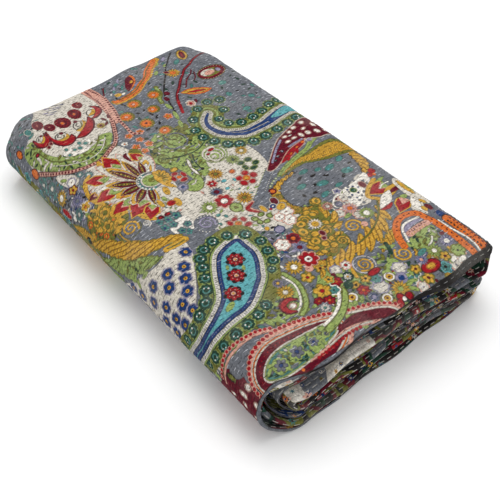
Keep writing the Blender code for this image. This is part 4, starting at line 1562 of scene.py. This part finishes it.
def finish_cotton(tree, colour, place, groups, slub=0.16, pucker=None):
    """Weave, washing and the weave's own relief on a cotton's colour."""
    shader = tree.nodes["Principled BSDF"]
    weave = use(tree, groups["weave"], place=place, slub=slub)
    washed = use(tree, groups["wear"], colour=colour, place=place)["colour"]
    feed(tree, shader.inputs["Base Color"], vector(tree, "MULTIPLY", washed, weave["shade"]))
    height = weave["height"] if pucker is None else calc(tree, "MULTIPLY_ADD", pucker, 4.0, weave["height"])
    relief = node(tree, "Bump", 0.35, 0.00025)
    feed(tree, relief.inputs["Height"], height)
    feed(tree, shader.inputs["Normal"], relief.outputs[0])


BARB_PITCH = 3.2            # mm between the fine lines in leaves and feathers
BARB_SHADE = (0.30, 0.24, 0.20)
LINE_COLOUR = (46, 40, 38)  # of the thin dark line round a motif
CARRIERS = 6                # point attributes that carry the depths, three to each


def printed_cotton(groups):
    """The face print, from the depths of its inks."""
    material, tree, place = new_cotton("printed cotton face")
    parts = []
    for number in range(CARRIERS):
        carried = node(tree, "Attribute", attribute_name=f"inks_{number + 1}").outputs["Vector"]
        parts += list(node(tree, "SeparateXYZ", carried).outputs)
    so_far = {"colours": (0.0, 0.0, 0.0), "weight": 0.0, "deepest": -10.0}
    for ink, depth in zip(INKS, parts):
        laid = use(tree, groups["ink"], depth=depth, colour=linear(INKS[ink]), **so_far)
        so_far = {key: laid[key] for key in so_far}
    whole = calc(tree, "MAXIMUM", so_far["weight"], 0.05)
    colour = vector(tree, "DIVIDE", so_far["colours"], whole)
    barbs, line = parts[len(INKS):]
    rim = calc(tree, "MULTIPLY", remap(tree, so_far["deepest"], 0.15, 0.75, 1.0, 0.0), line)
    turn = calc(tree, "FRACT", calc(tree, "DIVIDE", barbs, BARB_PITCH))
    stripe = calc(tree, "ABSOLUTE", calc(tree, "SUBTRACT", turn, 0.5))
    has_barbs = calc(tree, "GREATER_THAN", calc(tree, "ABSOLUTE", barbs), 0.01)
    barb = calc(tree, "MULTIPLY", remap(tree, stripe, 0.08, 0.2, 1.0, 0.0), has_barbs)
    shaded = vector(tree, "MULTIPLY", colour, BARB_SHADE)
    stranded = blend(tree, calc(tree, "MULTIPLY", barb, 0.8), colour, shaded)
    lined = blend(tree, calc(tree, "MULTIPLY", rim, 0.75), stranded, linear(LINE_COLOUR))
    finish_cotton(tree, lined, place, groups)
    return material


FAR_THREAD = (196, 192, 184)
HEM_COLOUR = (74, 74, 82)


def folded_cotton(groups, name, grounds, share, size):
    """Cotton of the cloth's inner layers: grounds that change in patches, and flowers strewn over them."""
    material, tree, place = new_cotton(name)
    patches = remap(tree, noise(tree, place, 19.0, 2.0, 0.5), 0.34, 0.66, kind="LINEAR")
    base = colour_steps(tree, patches, grounds)
    flowers = use(tree, groups["flowers"], place=place, size=size, share=share, ground=base, reach=0.36)
    moved = vector(tree, "ADD", place, (0.031, 0.017, 0.0))
    small = use(tree, groups["flowers"], place=moved, size=size * 1.7, petals=7.0, reach=0.3,
                share=share * 0.7, ground=flowers["colour"])
    stitches = use(tree, groups["stitches"], place=place)
    sewn = blend(tree, stitches["mask"], small["colour"], linear(FAR_THREAD))
    finish_cotton(tree, sewn, place, groups, pucker=stitches["pucker"])
    return material


def hem_cotton(groups):
    material, tree, place = new_cotton("hem edge")
    finish_cotton(tree, linear(HEM_COLOUR), place, groups, 0.3)
    return material


def thread_cotton(groups):
    material, tree, place = new_cotton("stitch thread", 0.7)
    tone = node(tree, "Attribute", attribute_name="thread_tone").outputs["Color"]
    finish_cotton(tree, tone, place, groups, 0.3)
    return material


def make_groups():
    return {"ink": make_ink_group(), "weave": make_weave_group(), "wear": make_wear_group(),
            "stitches": make_stitch_group(), "flowers": make_flowers_group()}


# ================================================================ the pieces
BODY_THICKNESS = 0.0018
CELLS = 5                   # columns of the face cotton to a row of stitches
FINE = ROW_PITCH / CELLS
HEM_STEP = 0.5              # mm that the turned hem stands above the cloth beside it
HEM_BACK = (12, 9, 6, 4, 2)             # columns of cloth that the hem's back goes in under the edge
HEM_TURN = (-68, -34, 0, 34, 68)        # degrees round the edge, from its back to its face
HEM_PRINT = HEM_BACK + (1.6, 1.2, 0.8, 0.4, 0.2)        # mm past the edge where the hem lies on the print
HEM_FRAY = 0.8              # mm that the hem's inner edge wanders
HEM_LINE = 0.55             # mm, half the dark line along it
STITCH_DENT = 0.26          # mm
LIFT = 1.15                 # mm from the middle of the cloth to the face cotton
STRIPS = 4
LOWEST = -0.65              # mm, the deepest that the face cotton goes into the cloth
EMBOSSED = 0.40             # mm that the middle of a motif stands above its edge


def cloth_grid(name, points):
    """A grid mesh laid on the points [row, column], with the order that its corners have."""
    rows, columns = points.shape[:2]
    grid = bmesh.new()
    bmesh.ops.create_grid(grid, x_segments=columns - 1, y_segments=rows - 1, size=1.0)
    bmesh.ops.reverse_faces(grid, faces=grid.faces)
    mesh = bpy.data.meshes.new(name)
    grid.to_mesh(mesh)
    grid.free()
    flat = np.empty(len(mesh.vertices) * 3)
    mesh.vertices.foreach_get("co", flat)
    place = np.rint((flat.reshape(-1, 3)[:, :2] + 1) / 2 * (columns - 1, rows - 1)).astype(int)
    order = place[:, 1] * columns + place[:, 0]
    mesh.vertices.foreach_set("co", points.reshape(-1, 3)[order].ravel())
    mesh.shade_smooth()
    return mesh, order


def corner_points(mesh):
    """The point that each face corner belongs to."""
    points = np.empty(len(mesh.loops), int)
    mesh.loops.foreach_get("vertex_index", points)
    return points


def add_uv(mesh, name, pairs):
    """A UV map from one pair for each face corner."""
    mesh.uv_layers.new(name=name).data.foreach_set("uv", np.asarray(pairs, float).ravel())


def into_scene(name, data):
    made = bpy.data.objects.new(name, data)
    bpy.context.scene.collection.objects.link(made)
    return made


def new_piece(name, mesh, material):
    piece = into_scene(name, mesh)
    mesh.materials.append(material)
    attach(piece, "root")
    return piece


def spread(low, high, pitch):
    return np.linspace(low, high, max(int(round(abs(high - low) / pitch)), 1) + 1)


def join_places(stretches):
    """Places part + share from (part, shares) stretches, each without its last share."""
    places = np.concatenate([part + shares[:-1] for part, shares in stretches])
    last_part, last = stretches[-1]
    return np.append(places, min(last_part + last[-1], last_part + 1 - 1e-9))


def lengths(points, axis):
    """Distance run along a sheet of points, measured on its middle line, in metres."""
    line = np.take(points, points.shape[axis] // 2, 1 - axis)
    return np.append(0.0, np.cumsum(np.linalg.norm(np.diff(line, axis=0), axis=1)))


# ---- the whole cloth: how finely it is divided ----
def end_weighted(first, middle):
    """Shares from 0 to 1, closer together near both ends."""
    return np.concatenate([np.linspace(0, 0.04, first)[:-1], np.linspace(0.04, 0.96, middle),
                           np.linspace(0.96, 1, 9)[1:]])


LAYER_SHARES = end_weighted(9, 15)
FACE_SHARES = end_weighted(5, 41)
LOOP_CELLS = 8
PALE_LAYER = {"x": 200.0, "y": -20.0, "run": (0.575, 1.16)}    # mm; and how far along the cloth, in metres
UNDER_FACE = 0.0004         # how much lower the body lies where the face cotton covers it
# the places across and along the cloth where that begins and ends
COVERED = {"front": (0.80, 0.86), "back": (4.04, 4.10), "end": (1.6, 2.0)}
BODY_ROWS = (50, 24, 50, 14, 46, 12, 44)        # cells across each of the seven stretches
# shares of the bake map's width: the margin, each side's, where the back's starts, where the rims are
BAKE_MAP = {"margin": 0.002, "side": 0.488, "back": 0.495, "rim": 0.988, "rim_wide": 0.010}


def coarse_middle():
    """The block's middle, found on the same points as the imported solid's."""
    flat = np.array((0.0, 0.03, 0.09, 0.22, 0.5, 0.78, 0.91, 0.97, 1.0))
    lengthways = join_places([(p, flat if p % 2 == 0 else np.arange(7) / 6) for p in range(7)])
    turns = {1: 9, 3: 6, 5: 5}
    across_shares = np.array((0.0, 0.14, 0.32, 0.5, 0.68, 0.86, 1.0))
    crossways = join_places([(r, across_shares if r % 2 == 0 else np.arange(turns[r] + 1) / turns[r])
                             for r in range(7)])
    return box_middle(settle(lay_flat(lengthways, crossways)))


def make_body(groups, middle):
    shares = [FACE_SHARES] + [np.linspace(0, 1, LOOP_CELLS + 1), LAYER_SHARES] * 3
    lengthways = join_places(list(enumerate(shares)))
    crossways = join_places([(r, np.linspace(0, 1, cells + 1)) for r, cells in enumerate(BODY_ROWS)])
    points = settle(lay_flat(lengthways, crossways)) - middle
    front, back = (ease_between(crossways, *COVERED[side]) for side in ("front", "back"))
    covered = np.outer(front * (1 - back), 1 - ease_between(lengthways, *COVERED["end"]))
    points = points - (UNDER_FACE * covered)[..., None] * outward(points)
    mesh, order = cloth_grid("quilt_cloth", points)
    rows, columns = points.shape[:2]
    u, v = lengths(points, 1), lengths(points, 0)
    corner = order[corner_points(mesh)]
    add_uv(mesh, "cloth", np.stack([u[corner % columns], v[corner // columns]], -1))
    add_uv(mesh, "OFBake", np.stack([corner % columns / (columns - 1), corner // columns / (rows - 1)], -1))
    body = into_scene("quilt_cloth", mesh)
    inside = ("charcoal", "slate", "olive", "charcoal", "navy", "slate")
    back = ("charcoal", "olive", "burgundy", "charcoal", "green", "slate")
    pale = ("cream", "white", "cream", "slate")
    mesh.materials.append(folded_cotton(groups, "printed cotton inside", inside, 0.6, 46.0))
    mesh.materials.append(folded_cotton(groups, "quilt back", back, 0.5, 40.0))
    mesh.materials.append(hem_cotton(groups))
    mesh.materials.append(folded_cotton(groups, "pale quilt back", pale, 0.5, 66.0))
    thick = body.modifiers.new("thickness", "SOLIDIFY")
    thick.thickness = BODY_THICKNESS
    thick.offset = 0.0
    thick.material_offset = 1
    thick.material_offset_rim = 2
    solid = bpy.data.meshes.new_from_object(body.evaluated_get(bpy.context.evaluated_depsgraph_get()))
    body.modifiers.clear()
    body.data = solid
    solid.name = "quilt_cloth"
    place_shells(solid, len(mesh.polygons))
    run = solid.uv_layers["cloth"].data
    for face in solid.polygons:
        x, y, z = face.center / MM
        along_cloth = run[face.loop_start].uv[0]
        if face.material_index == 1 and PALE_LAYER["run"][0] < along_cloth < PALE_LAYER["run"][1]:
            if x > PALE_LAYER["x"] and y < PALE_LAYER["y"] and z > HEIGHT / 2 / MM:
                face.material_index = 3
    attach(body, "root")
    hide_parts("quilt")
    return body


def place_shells(mesh, shell_faces):
    """The face side takes the left of the bake map and the back the right, with the rims down the edge."""
    face_of = np.empty(len(mesh.polygons), int)
    mesh.polygons.foreach_get("loop_total", face_of)
    shell = np.repeat(np.minimum(np.arange(len(mesh.polygons)) // shell_faces, 2), face_of)
    layer = mesh.uv_layers["OFBake"].data
    pairs = np.empty(len(mesh.loops) * 2)
    layer.foreach_get("uv", pairs)
    pairs = pairs.reshape(-1, 2)
    corner_number = np.arange(len(mesh.loops)) % 4
    rim_u = BAKE_MAP["rim"] + BAKE_MAP["rim_wide"] * (corner_number // 2)
    side_u = BAKE_MAP["margin"] + BAKE_MAP["side"] * pairs[:, 0] + BAKE_MAP["back"] * np.minimum(shell, 1)
    pairs[:, 0] = np.where(shell == 2, rim_u, side_u)
    layer.foreach_set("uv", pairs.ravel())


# ---- the face cotton ----
PAST_LOOP = 0.032           # share of the second layer that it goes on over, past the left end's loop
PAST_TURN = 0.11            # share of the second ply, past the turn at the back


def face_grid(middle):
    """The face cotton's points' places on the middle of the cloth, and where each lies on the print."""
    lengthways = join_places([(0, spread(0.0, 1.0, FINE / (LENGTH - 0.006))), (1, np.linspace(0, 1, 13)),
                              (2, np.linspace(0.0, PAST_LOOP, 18))])
    lengthways[-1] = 2 + PAST_LOOP
    crossways = join_places([(0, spread(0.82, 1.0, 0.0085)), (1, spread(0.0, 1.0, 0.0072)),
                             (2, spread(0.0, 1.0, 0.0038)), (3, spread(0.0, 1.0, 0.0195)),
                             (4, np.linspace(0.0, PAST_TURN, 11))])
    crossways[-1] = 4 + PAST_TURN
    flat = lay_flat(lengthways, crossways) - middle
    points = settle(flat + middle) - middle
    x = flat[..., 0] / MM
    first_part = int((lengthways < 1.0).sum())
    steps = np.linalg.norm(np.diff(flat[:, first_part:], axis=1), axis=-1) / MM
    x[:, first_part + 1:] = x[:, first_part:first_part + 1] - np.cumsum(steps, 1)
    return points, x, print_across(crossways), first_part


def print_across(crossways):
    """Where each row lies across the print, in mm: y on top, and on round the folds."""
    radius = turn_radius("second", "top") + MIDDLE * PLIES["top"]["pitch"]
    round_front = math.pi * HEIGHT / 2
    places = []
    for place in crossways:
        row = int(place)
        share = place - row
        step = ACROSS[row]
        if row == 0:
            places.append(2 * OUTER_TURN_Y - round_front - mix(step["from"], step["to"], share))
        elif row == 1:
            places.append(OUTER_TURN_Y - round_front * (1 - share))
        elif row == 2:
            places.append(mix(step["from"], step["to"], share))
        elif row == 3:
            places.append(FAR_TURN_Y + math.pi * radius * share)
        else:
            places.append(FAR_TURN_Y + math.pi * radius + abs(step["to"] - step["from"]) * share)
    return np.array(places) / MM


# main creases: x, v, half length, half width (mm), depth (mm, below 0 a ridge), turned by
CREASES = (
    (-262, 60, 70, 7, 1.2, 84),
    (-236, -10, 60, 6, 0.9, 70),
    (-190, -132, 60, 5, 0.8, 12),
    (-60, -150, 90, 6, 0.9, -4),
    (90, -148, 80, 6, 0.8, 5),
    (200, -126, 50, 5, 0.8, -18),
    (252, -40, 60, 6, 1.0, 84),
    (262, 70, 70, 5, 0.9, 88),
    (-120, -196, 90, 6, 0.9, 2),
    (60, -200, 80, 6, 0.7, -3),
    (-20, 60, 70, 9, 0.6, 80),
    (120, 10, 60, 8, 0.6, 70),
    (-130, 20, 60, 8, 0.6, 100),
    (30, -40, 60, 8, -0.5, 85),
)


# wrinkles: how high and how long in x and in v, in mm, and a seed
WRINKLES = ((0.40, 34, 26, 1), (0.28, 13, 19, 2), (0.16, 5.3, 9.5, 3))
CREASE_WANDER = 5.0         # mm
PUCKER = {"high": 0.42, "uneven": 0.18, "power": 0.7}
PRESSED = {"z": (0.0005, 0.004), "share": 0.15}         # flatter where the cloth lies on the ground


def relief(x, v, columns):
    """How far the face cotton stands off its base, in mm: wrinkles, creases and puckers between stitches."""
    wide = np.broadcast_to(v[:, None], x.shape)
    height = 0.0
    for high, long, broad, seed in WRINKLES:
        height = height + high * soft_noise(x / long, wide / broad, seed)
    for crease_x, crease_v, long, half, depth, degrees in CREASES:
        a, b = turned(x - crease_x, wide - crease_v, degrees)
        b = b + CREASE_WANDER * soft_noise(a / 30, a * 0 + crease_x, 4)
        height = height - depth * np.exp(-(b / half) ** 2) * (1 - ease(np.abs(a) / long))
    puff = np.abs(np.sin(math.pi * columns / CELLS)) ** PUCKER["power"]
    strength = PUCKER["high"] + PUCKER["uneven"] * soft_noise(x / 22, wide / 17, 5)
    return height + strength * puff


STITCH = {"long": (4.8, 6.8), "gap": (3.6, 5.2), "seed": 77}       # mm


def stitch_rows(v, first, last):
    """Every stitch as (column, start v, stop v) down each row of stitches."""
    rng = np.random.default_rng(STITCH["seed"])
    stitches = []
    for column in range(first, last, CELLS):
        place = v[0] + rng.uniform(0.0, 10.0)
        while place < v[-1] - 8:
            long = rng.uniform(*STITCH["long"])
            stitches.append((column, place, place + long))
            place += long + rng.uniform(*STITCH["gap"])
    return stitches


def make_face(groups, middle):
    points, x, v, flat_columns = face_grid(middle)
    normals = outward(points)
    columns = np.arange(points.shape[1])
    past = np.array(HEM_PRINT)
    cloth = Print(np.concatenate([x[:, :1] + past + 1.0, x], 1), v)
    cloth.depth[0] = FAR
    draw_print(cloth)
    puffed = 1 - np.exp(-np.maximum(cloth.depth.max(0)[:, len(past):], 0.0) / 1.3)
    height = relief(x, v, columns[None, :] * 1.0) + EMBOSSED * (puffed - 0.5)
    stitches = stitch_rows(v, 3, flat_columns - 2)
    for column, start, stop in stitches:
        rows = slice(*np.searchsorted(v, (start, stop)))
        height[rows, column] -= STITCH_DENT
    from_edge = np.linalg.norm(points - points[:, :1], axis=-1) / MM
    band = hem_width(v)[:, None]
    height = height + HEM_STEP * (1 - ease_between(from_edge, band - 0.8, band + 1.0)) * (band > 2)
    height = height * mix(PRESSED["share"], 1.0, ease_between(points[..., 2], *PRESSED["z"]))
    height = np.where(height < 0, LOWEST * np.tanh(height / LOWEST), height)
    surface = points + (LIFT + height)[..., None] * MM * normals
    edge_out = points[:, 0] - points[:, 1]
    edge_out = edge_out / np.linalg.norm(edge_out, axis=-1, keepdims=True)
    wrap = []
    for k in HEM_BACK:
        wrap.append(points[:, k] - LIFT * MM * normals[:, k])
    lift = (LIFT + height[:, 0]) * MM
    for degrees in HEM_TURN:
        a, b = math.sin(math.radians(degrees)), math.cos(math.radians(degrees))
        size = mix(LIFT * MM, lift, (degrees + 90) / 180)[:, None]
        wrap.append(points[:, 0] + size * (a * normals[:, 0] + b * edge_out))
    surface = np.concatenate([np.stack(wrap, 1), surface], 1)
    surface[..., 2] = np.maximum(surface[..., 2], 0.0002)
    count = len(wrap)
    from_edge = np.concatenate([np.zeros((len(v), count)), from_edge], 1)
    draw_hem(cloth, from_edge, band)
    shade = outward(surface)
    pieces = []
    cuts = np.linspace(0, surface.shape[1] - 1, STRIPS + 1).astype(int)
    material = printed_cotton(groups)
    for number, (start, stop) in enumerate(zip(cuts, cuts[1:])):
        part = slice(start, stop + 1)
        name = f"face_cotton_{number + 1}"
        pieces.append(make_strip(name, surface[:, part], shade[:, part], cloth, part, material))
    return pieces + [make_threads(groups, surface, shade, cloth, stitches, count)]


# where along the cloth's edge, and how wide the hem shows on the face side there, in mm
HEM_WIDTHS = ((-330, 11.0), (-215, 8.0), (-195, 3.0), (-175, 1.6), (-150, 1.2), (-118, 1.0), (-100, 0.8),
              (-60, 0.5), (20, 0.5), (50, 4.0), (70, 8.0), (150, 8.0), (200, 12.5), (240, 12.5))


def hem_width(v):
    return np.interp(v, *zip(*HEM_WIDTHS))


def draw_hem(cloth, from_edge, band):
    """The hem as a dull band on the face side, with painted shade where it shows at the back: there it is
    laid dark.
    """
    everywhere = (slice(0, cloth.x.shape[0]), slice(0, cloth.x.shape[1]))
    v = cloth.v[:, None]
    wavy = band + HEM_FRAY * soft_noise(v / 16, v * 0, 8)
    cloth.lay("slate", everywhere, wavy - from_edge)
    cloth.lay("charcoal", everywhere, HEM_LINE - np.abs(wavy - from_edge))
    # painted shade: past about v = 12 mm, towards the back, the hem band is laid in charcoal, with a ragged
    # border, for the shade it lies in
    ragged = 6 * soft_noise(from_edge / 9, v / 14, 9)
    back = np.clip((v - 12 + ragged) / 4, -FAR, FAR)
    cloth.lay("charcoal", everywhere, np.minimum(wavy - from_edge, back))


def make_strip(name, points, normals, cloth, part, material):
    mesh, order = cloth_grid(name, points)
    rows, columns = points.shape[:2]
    corner = order[corner_points(mesh)]
    x, v = cloth.x[:, part], cloth.v
    add_uv(mesh, "cloth", np.stack([x.ravel()[corner], v[corner // columns]], -1) * MM)
    add_uv(mesh, "OFBake", np.stack([corner % columns / (columns - 1), corner // columns / (rows - 1)], -1))
    fields = list(cloth.depth) + [cloth.barbs, cloth.line]
    for number in range(CARRIERS):
        three = np.stack([field[:, part].ravel()[order] for field in fields[3 * number:3 * number + 3]], -1)
        layer = mesh.attributes.new(f"inks_{number + 1}", "FLOAT_VECTOR", "POINT")
        layer.data.foreach_set("vector", three.astype(np.float32).ravel())
    mesh.normals_split_custom_set_from_vertices(normals.reshape(-1, 3)[order].tolist())
    return new_piece(name, mesh, material)


THREAD = {"half": 0.44, "high": 0.34, "sink": 0.14}     # mm
THREAD_LONG = 5             # points along a stitch
THREAD_SECTION = ((-1.0, 0.0), (-0.45, 1.0), (0.45, 1.0), (1.0, 0.0))      # shares of half and of high
THREAD_WIDE = len(THREAD_SECTION)
THREAD_CELL = (0.0004, 0.0012)          # metres of thread to a cell, across and along
OTHER_TONE = {"share": 0.34, "seed": 5}
TONE_SPREAD = (0.75, 1.2)   # how dark and how bright a thread can be
# the thread's tone where it lies on an ink: its usual colour, and another that about a third have
THREAD_TONES = {
    "slate": ((190, 192, 200), (52, 52, 60)),
    "lavender": ((200, 198, 206), (60, 58, 82)),
    "charcoal": ((120, 120, 120), (160, 158, 150)),
    "navy": ((120, 130, 160), (20, 30, 60)),
    "burgundy": ((140, 60, 64), (50, 10, 20)),
    "red": ((90, 12, 20), (190, 110, 90)),
    "green": ((110, 140, 104), (20, 36, 28)),
    "teal": ((36, 70, 72), (150, 180, 170)),
    "aqua": ((30, 70, 100), (44, 96, 104)),
    "lime": ((44, 62, 34), (70, 92, 50)),
    "olive": ((44, 44, 24), (150, 150, 90)),
    "gold": ((82, 52, 14), (66, 54, 24)),
    "orange": ((100, 40, 16), (70, 46, 24)),
    "pink": ((100, 40, 44), (74, 54, 50)),
    "cream": ((52, 50, 44), (78, 74, 66)),
    "white": ((60, 60, 58), (96, 94, 88)),
}


def make_threads(groups, surface, shade, cloth, stitches, shift):
    """The stitches as short half round threads, toned by the ink that they lie on."""
    ink_here = cloth.depth.argmax(0)
    rng = np.random.default_rng(OTHER_TONE["seed"])
    columns = np.array([column + shift for column, _, _ in stitches])
    starts, stops = (np.interp([s[i] for s in stitches], cloth.v, np.arange(len(cloth.v))) for i in (1, 2))
    middle_rows = np.rint((starts + stops) / 2).astype(int)
    strips, tones = [], []
    for column, start, stop, middle_row in zip(columns, starts, stops, middle_rows):
        strips.append(thread_points(surface, shade, column, start, stop))
        pair = THREAD_TONES[INK_NAMES[ink_here[middle_row, column]]]
        tone = linear(pair[int(rng.uniform() < OTHER_TONE["share"])])[:3]
        tones += [np.array(tone) * rng.uniform(*TONE_SPREAD)] * THREAD_WIDE
    mesh = thread_mesh("stitches", np.concatenate(strips, 1), np.array(tones))
    return new_piece("stitches", mesh, thread_cotton(groups))


def thread_points(surface, shade, column, start, stop):
    """The points of one stitch, from where it comes up to where it goes down."""
    rows = np.linspace(start, stop, THREAD_LONG)
    low = np.clip(rows.astype(int), 0, len(surface) - 2)
    share = (rows - low)[:, None]
    centre = mix(surface[low, column], surface[low + 1, column], share)
    up = shade[low, column]
    beside = surface[low, column + 1] - surface[low, column - 1]
    beside = beside / np.maximum(np.linalg.norm(beside, axis=1, keepdims=True), 1e-9)
    arch = np.sin(np.linspace(0, math.pi, THREAD_LONG)) ** 0.5
    high = (THREAD["high"] + 0.2) * arch - THREAD["sink"]
    columns = []
    for off, rise in THREAD_SECTION:
        lift = np.where(rise > 0, high, -THREAD["sink"])[:, None]
        wide = (THREAD["half"] * off * (0.6 + 0.4 * arch))[:, None]
        columns.append(centre + MM * (wide * beside + lift * up))
    return np.stack(columns, 1)


BAKE_COLUMNS = 60           # of stitches side by side on the bake map


def thread_mesh(name, points, tones):
    """One grid for all the stitches, with the faces between two of them taken out."""
    mesh, order = cloth_grid(name, points)
    columns = points.shape[1]
    layer = mesh.attributes.new("thread_tone", "FLOAT_VECTOR", "POINT")
    layer.data.foreach_set("vector", tones[order % columns].astype(np.float32).ravel())
    grid = bmesh.new()
    grid.from_mesh(mesh)
    grid.faces.ensure_lookup_table()
    grid.verts.ensure_lookup_table()
    column = order % columns
    last = THREAD_WIDE - 1
    between = [face for face in grid.faces
               if min(column[corner.index] for corner in face.verts) % THREAD_WIDE == last]
    uv = grid.loops.layers.uv.new("cloth")
    bake = grid.loops.layers.uv.new("OFBake")
    bake_rows = (columns // THREAD_WIDE + 1) / BAKE_COLUMNS
    for face in grid.faces:
        for corner in face.loops:
            step, across_all = divmod(order[corner.vert.index], columns)
            stitch, side = divmod(across_all, THREAD_WIDE)
            corner[uv].uv = (across_all * THREAD_CELL[0], step * THREAD_CELL[1])
            corner[bake].uv = ((stitch % BAKE_COLUMNS + 0.1 + 0.26 * side) / BAKE_COLUMNS,
                               (stitch // BAKE_COLUMNS + 0.1 + 0.2 * step) / bake_rows)
    bmesh.ops.delete(grid, geom=between, context="FACES")
    grid.to_mesh(mesh)
    grid.free()
    return mesh


# ================================================================ the studio
CAMERA = {"azimuth": 49.905, "elevation": 46.033, "distance": 0.9011, "lens": 54.54,
          "target": (0.0748, -0.0204, 0.03)}


def make_camera():
    a, e = math.radians(CAMERA["azimuth"]), math.radians(CAMERA["elevation"])
    back = Vector((math.sin(a) * math.cos(e), -math.cos(a) * math.cos(e), math.sin(e)))
    camera = into_scene("camera", bpy.data.cameras.new("camera"))
    camera.location = Vector(CAMERA["target"]) + CAMERA["distance"] * back
    camera.rotation_euler = back.to_track_quat("Z", "Y").to_euler()
    camera.data.lens = CAMERA["lens"]
    camera.data.sensor_width = 36.0
    camera.data.clip_start = 0.01
    bpy.context.scene.camera = camera


LAMP = {"place": (-0.35, 0.45, 2.1), "target": (0.0, 0.0, 0.05), "size": 1.6, "watts": 27.0}
SKY_STRENGTH = 0.72


def make_lights():
    """One wide soft lamp from above and behind, and an even white sky."""
    lamp = into_scene("key", bpy.data.lights.new("key", "AREA"))
    lamp.data.size = LAMP["size"]
    lamp.data.energy = LAMP["watts"]
    lamp.location = LAMP["place"]
    lamp.rotation_euler = (lamp.location - Vector(LAMP["target"])).to_track_quat("Z", "Y").to_euler()
    world = bpy.data.worlds.new("studio")
    world.use_nodes = True
    sky = world.node_tree.nodes["Background"]
    sky.inputs[0].default_value = (1.0, 1.0, 1.0, 1.0)
    sky.inputs[1].default_value = SKY_STRENGTH
    bpy.context.scene.world = world
    bpy.context.scene.view_settings.view_transform = "Standard"


def make_floor():
    grid = bmesh.new()
    bmesh.ops.create_grid(grid, x_segments=2, y_segments=2, size=6.0)
    mesh = bpy.data.meshes.new("floor")
    grid.to_mesh(mesh)
    grid.free()
    material = bpy.data.materials.new("pale floor")
    material.use_nodes = True
    tree = material.node_tree
    shader = tree.nodes["Principled BSDF"]
    place = node(tree, "TexCoord").outputs["Object"]
    grain = node(tree, "TexNoise", place, None, 40.0).outputs[0]
    speckled = blend(tree, grain, (0.97, 0.97, 0.97, 1.0), (0.99, 0.99, 0.99, 1.0))
    feed(tree, shader.inputs["Base Color"], speckled)
    shader.inputs["Roughness"].default_value = 0.95
    mesh.materials.append(material)
    into_scene("floor", mesh)


def main():
    make_camera()
    make_lights()
    make_floor()
    groups = make_groups()
    middle = coarse_middle()
    body = make_body(groups, middle)
    pieces = make_face(groups, middle)


main()
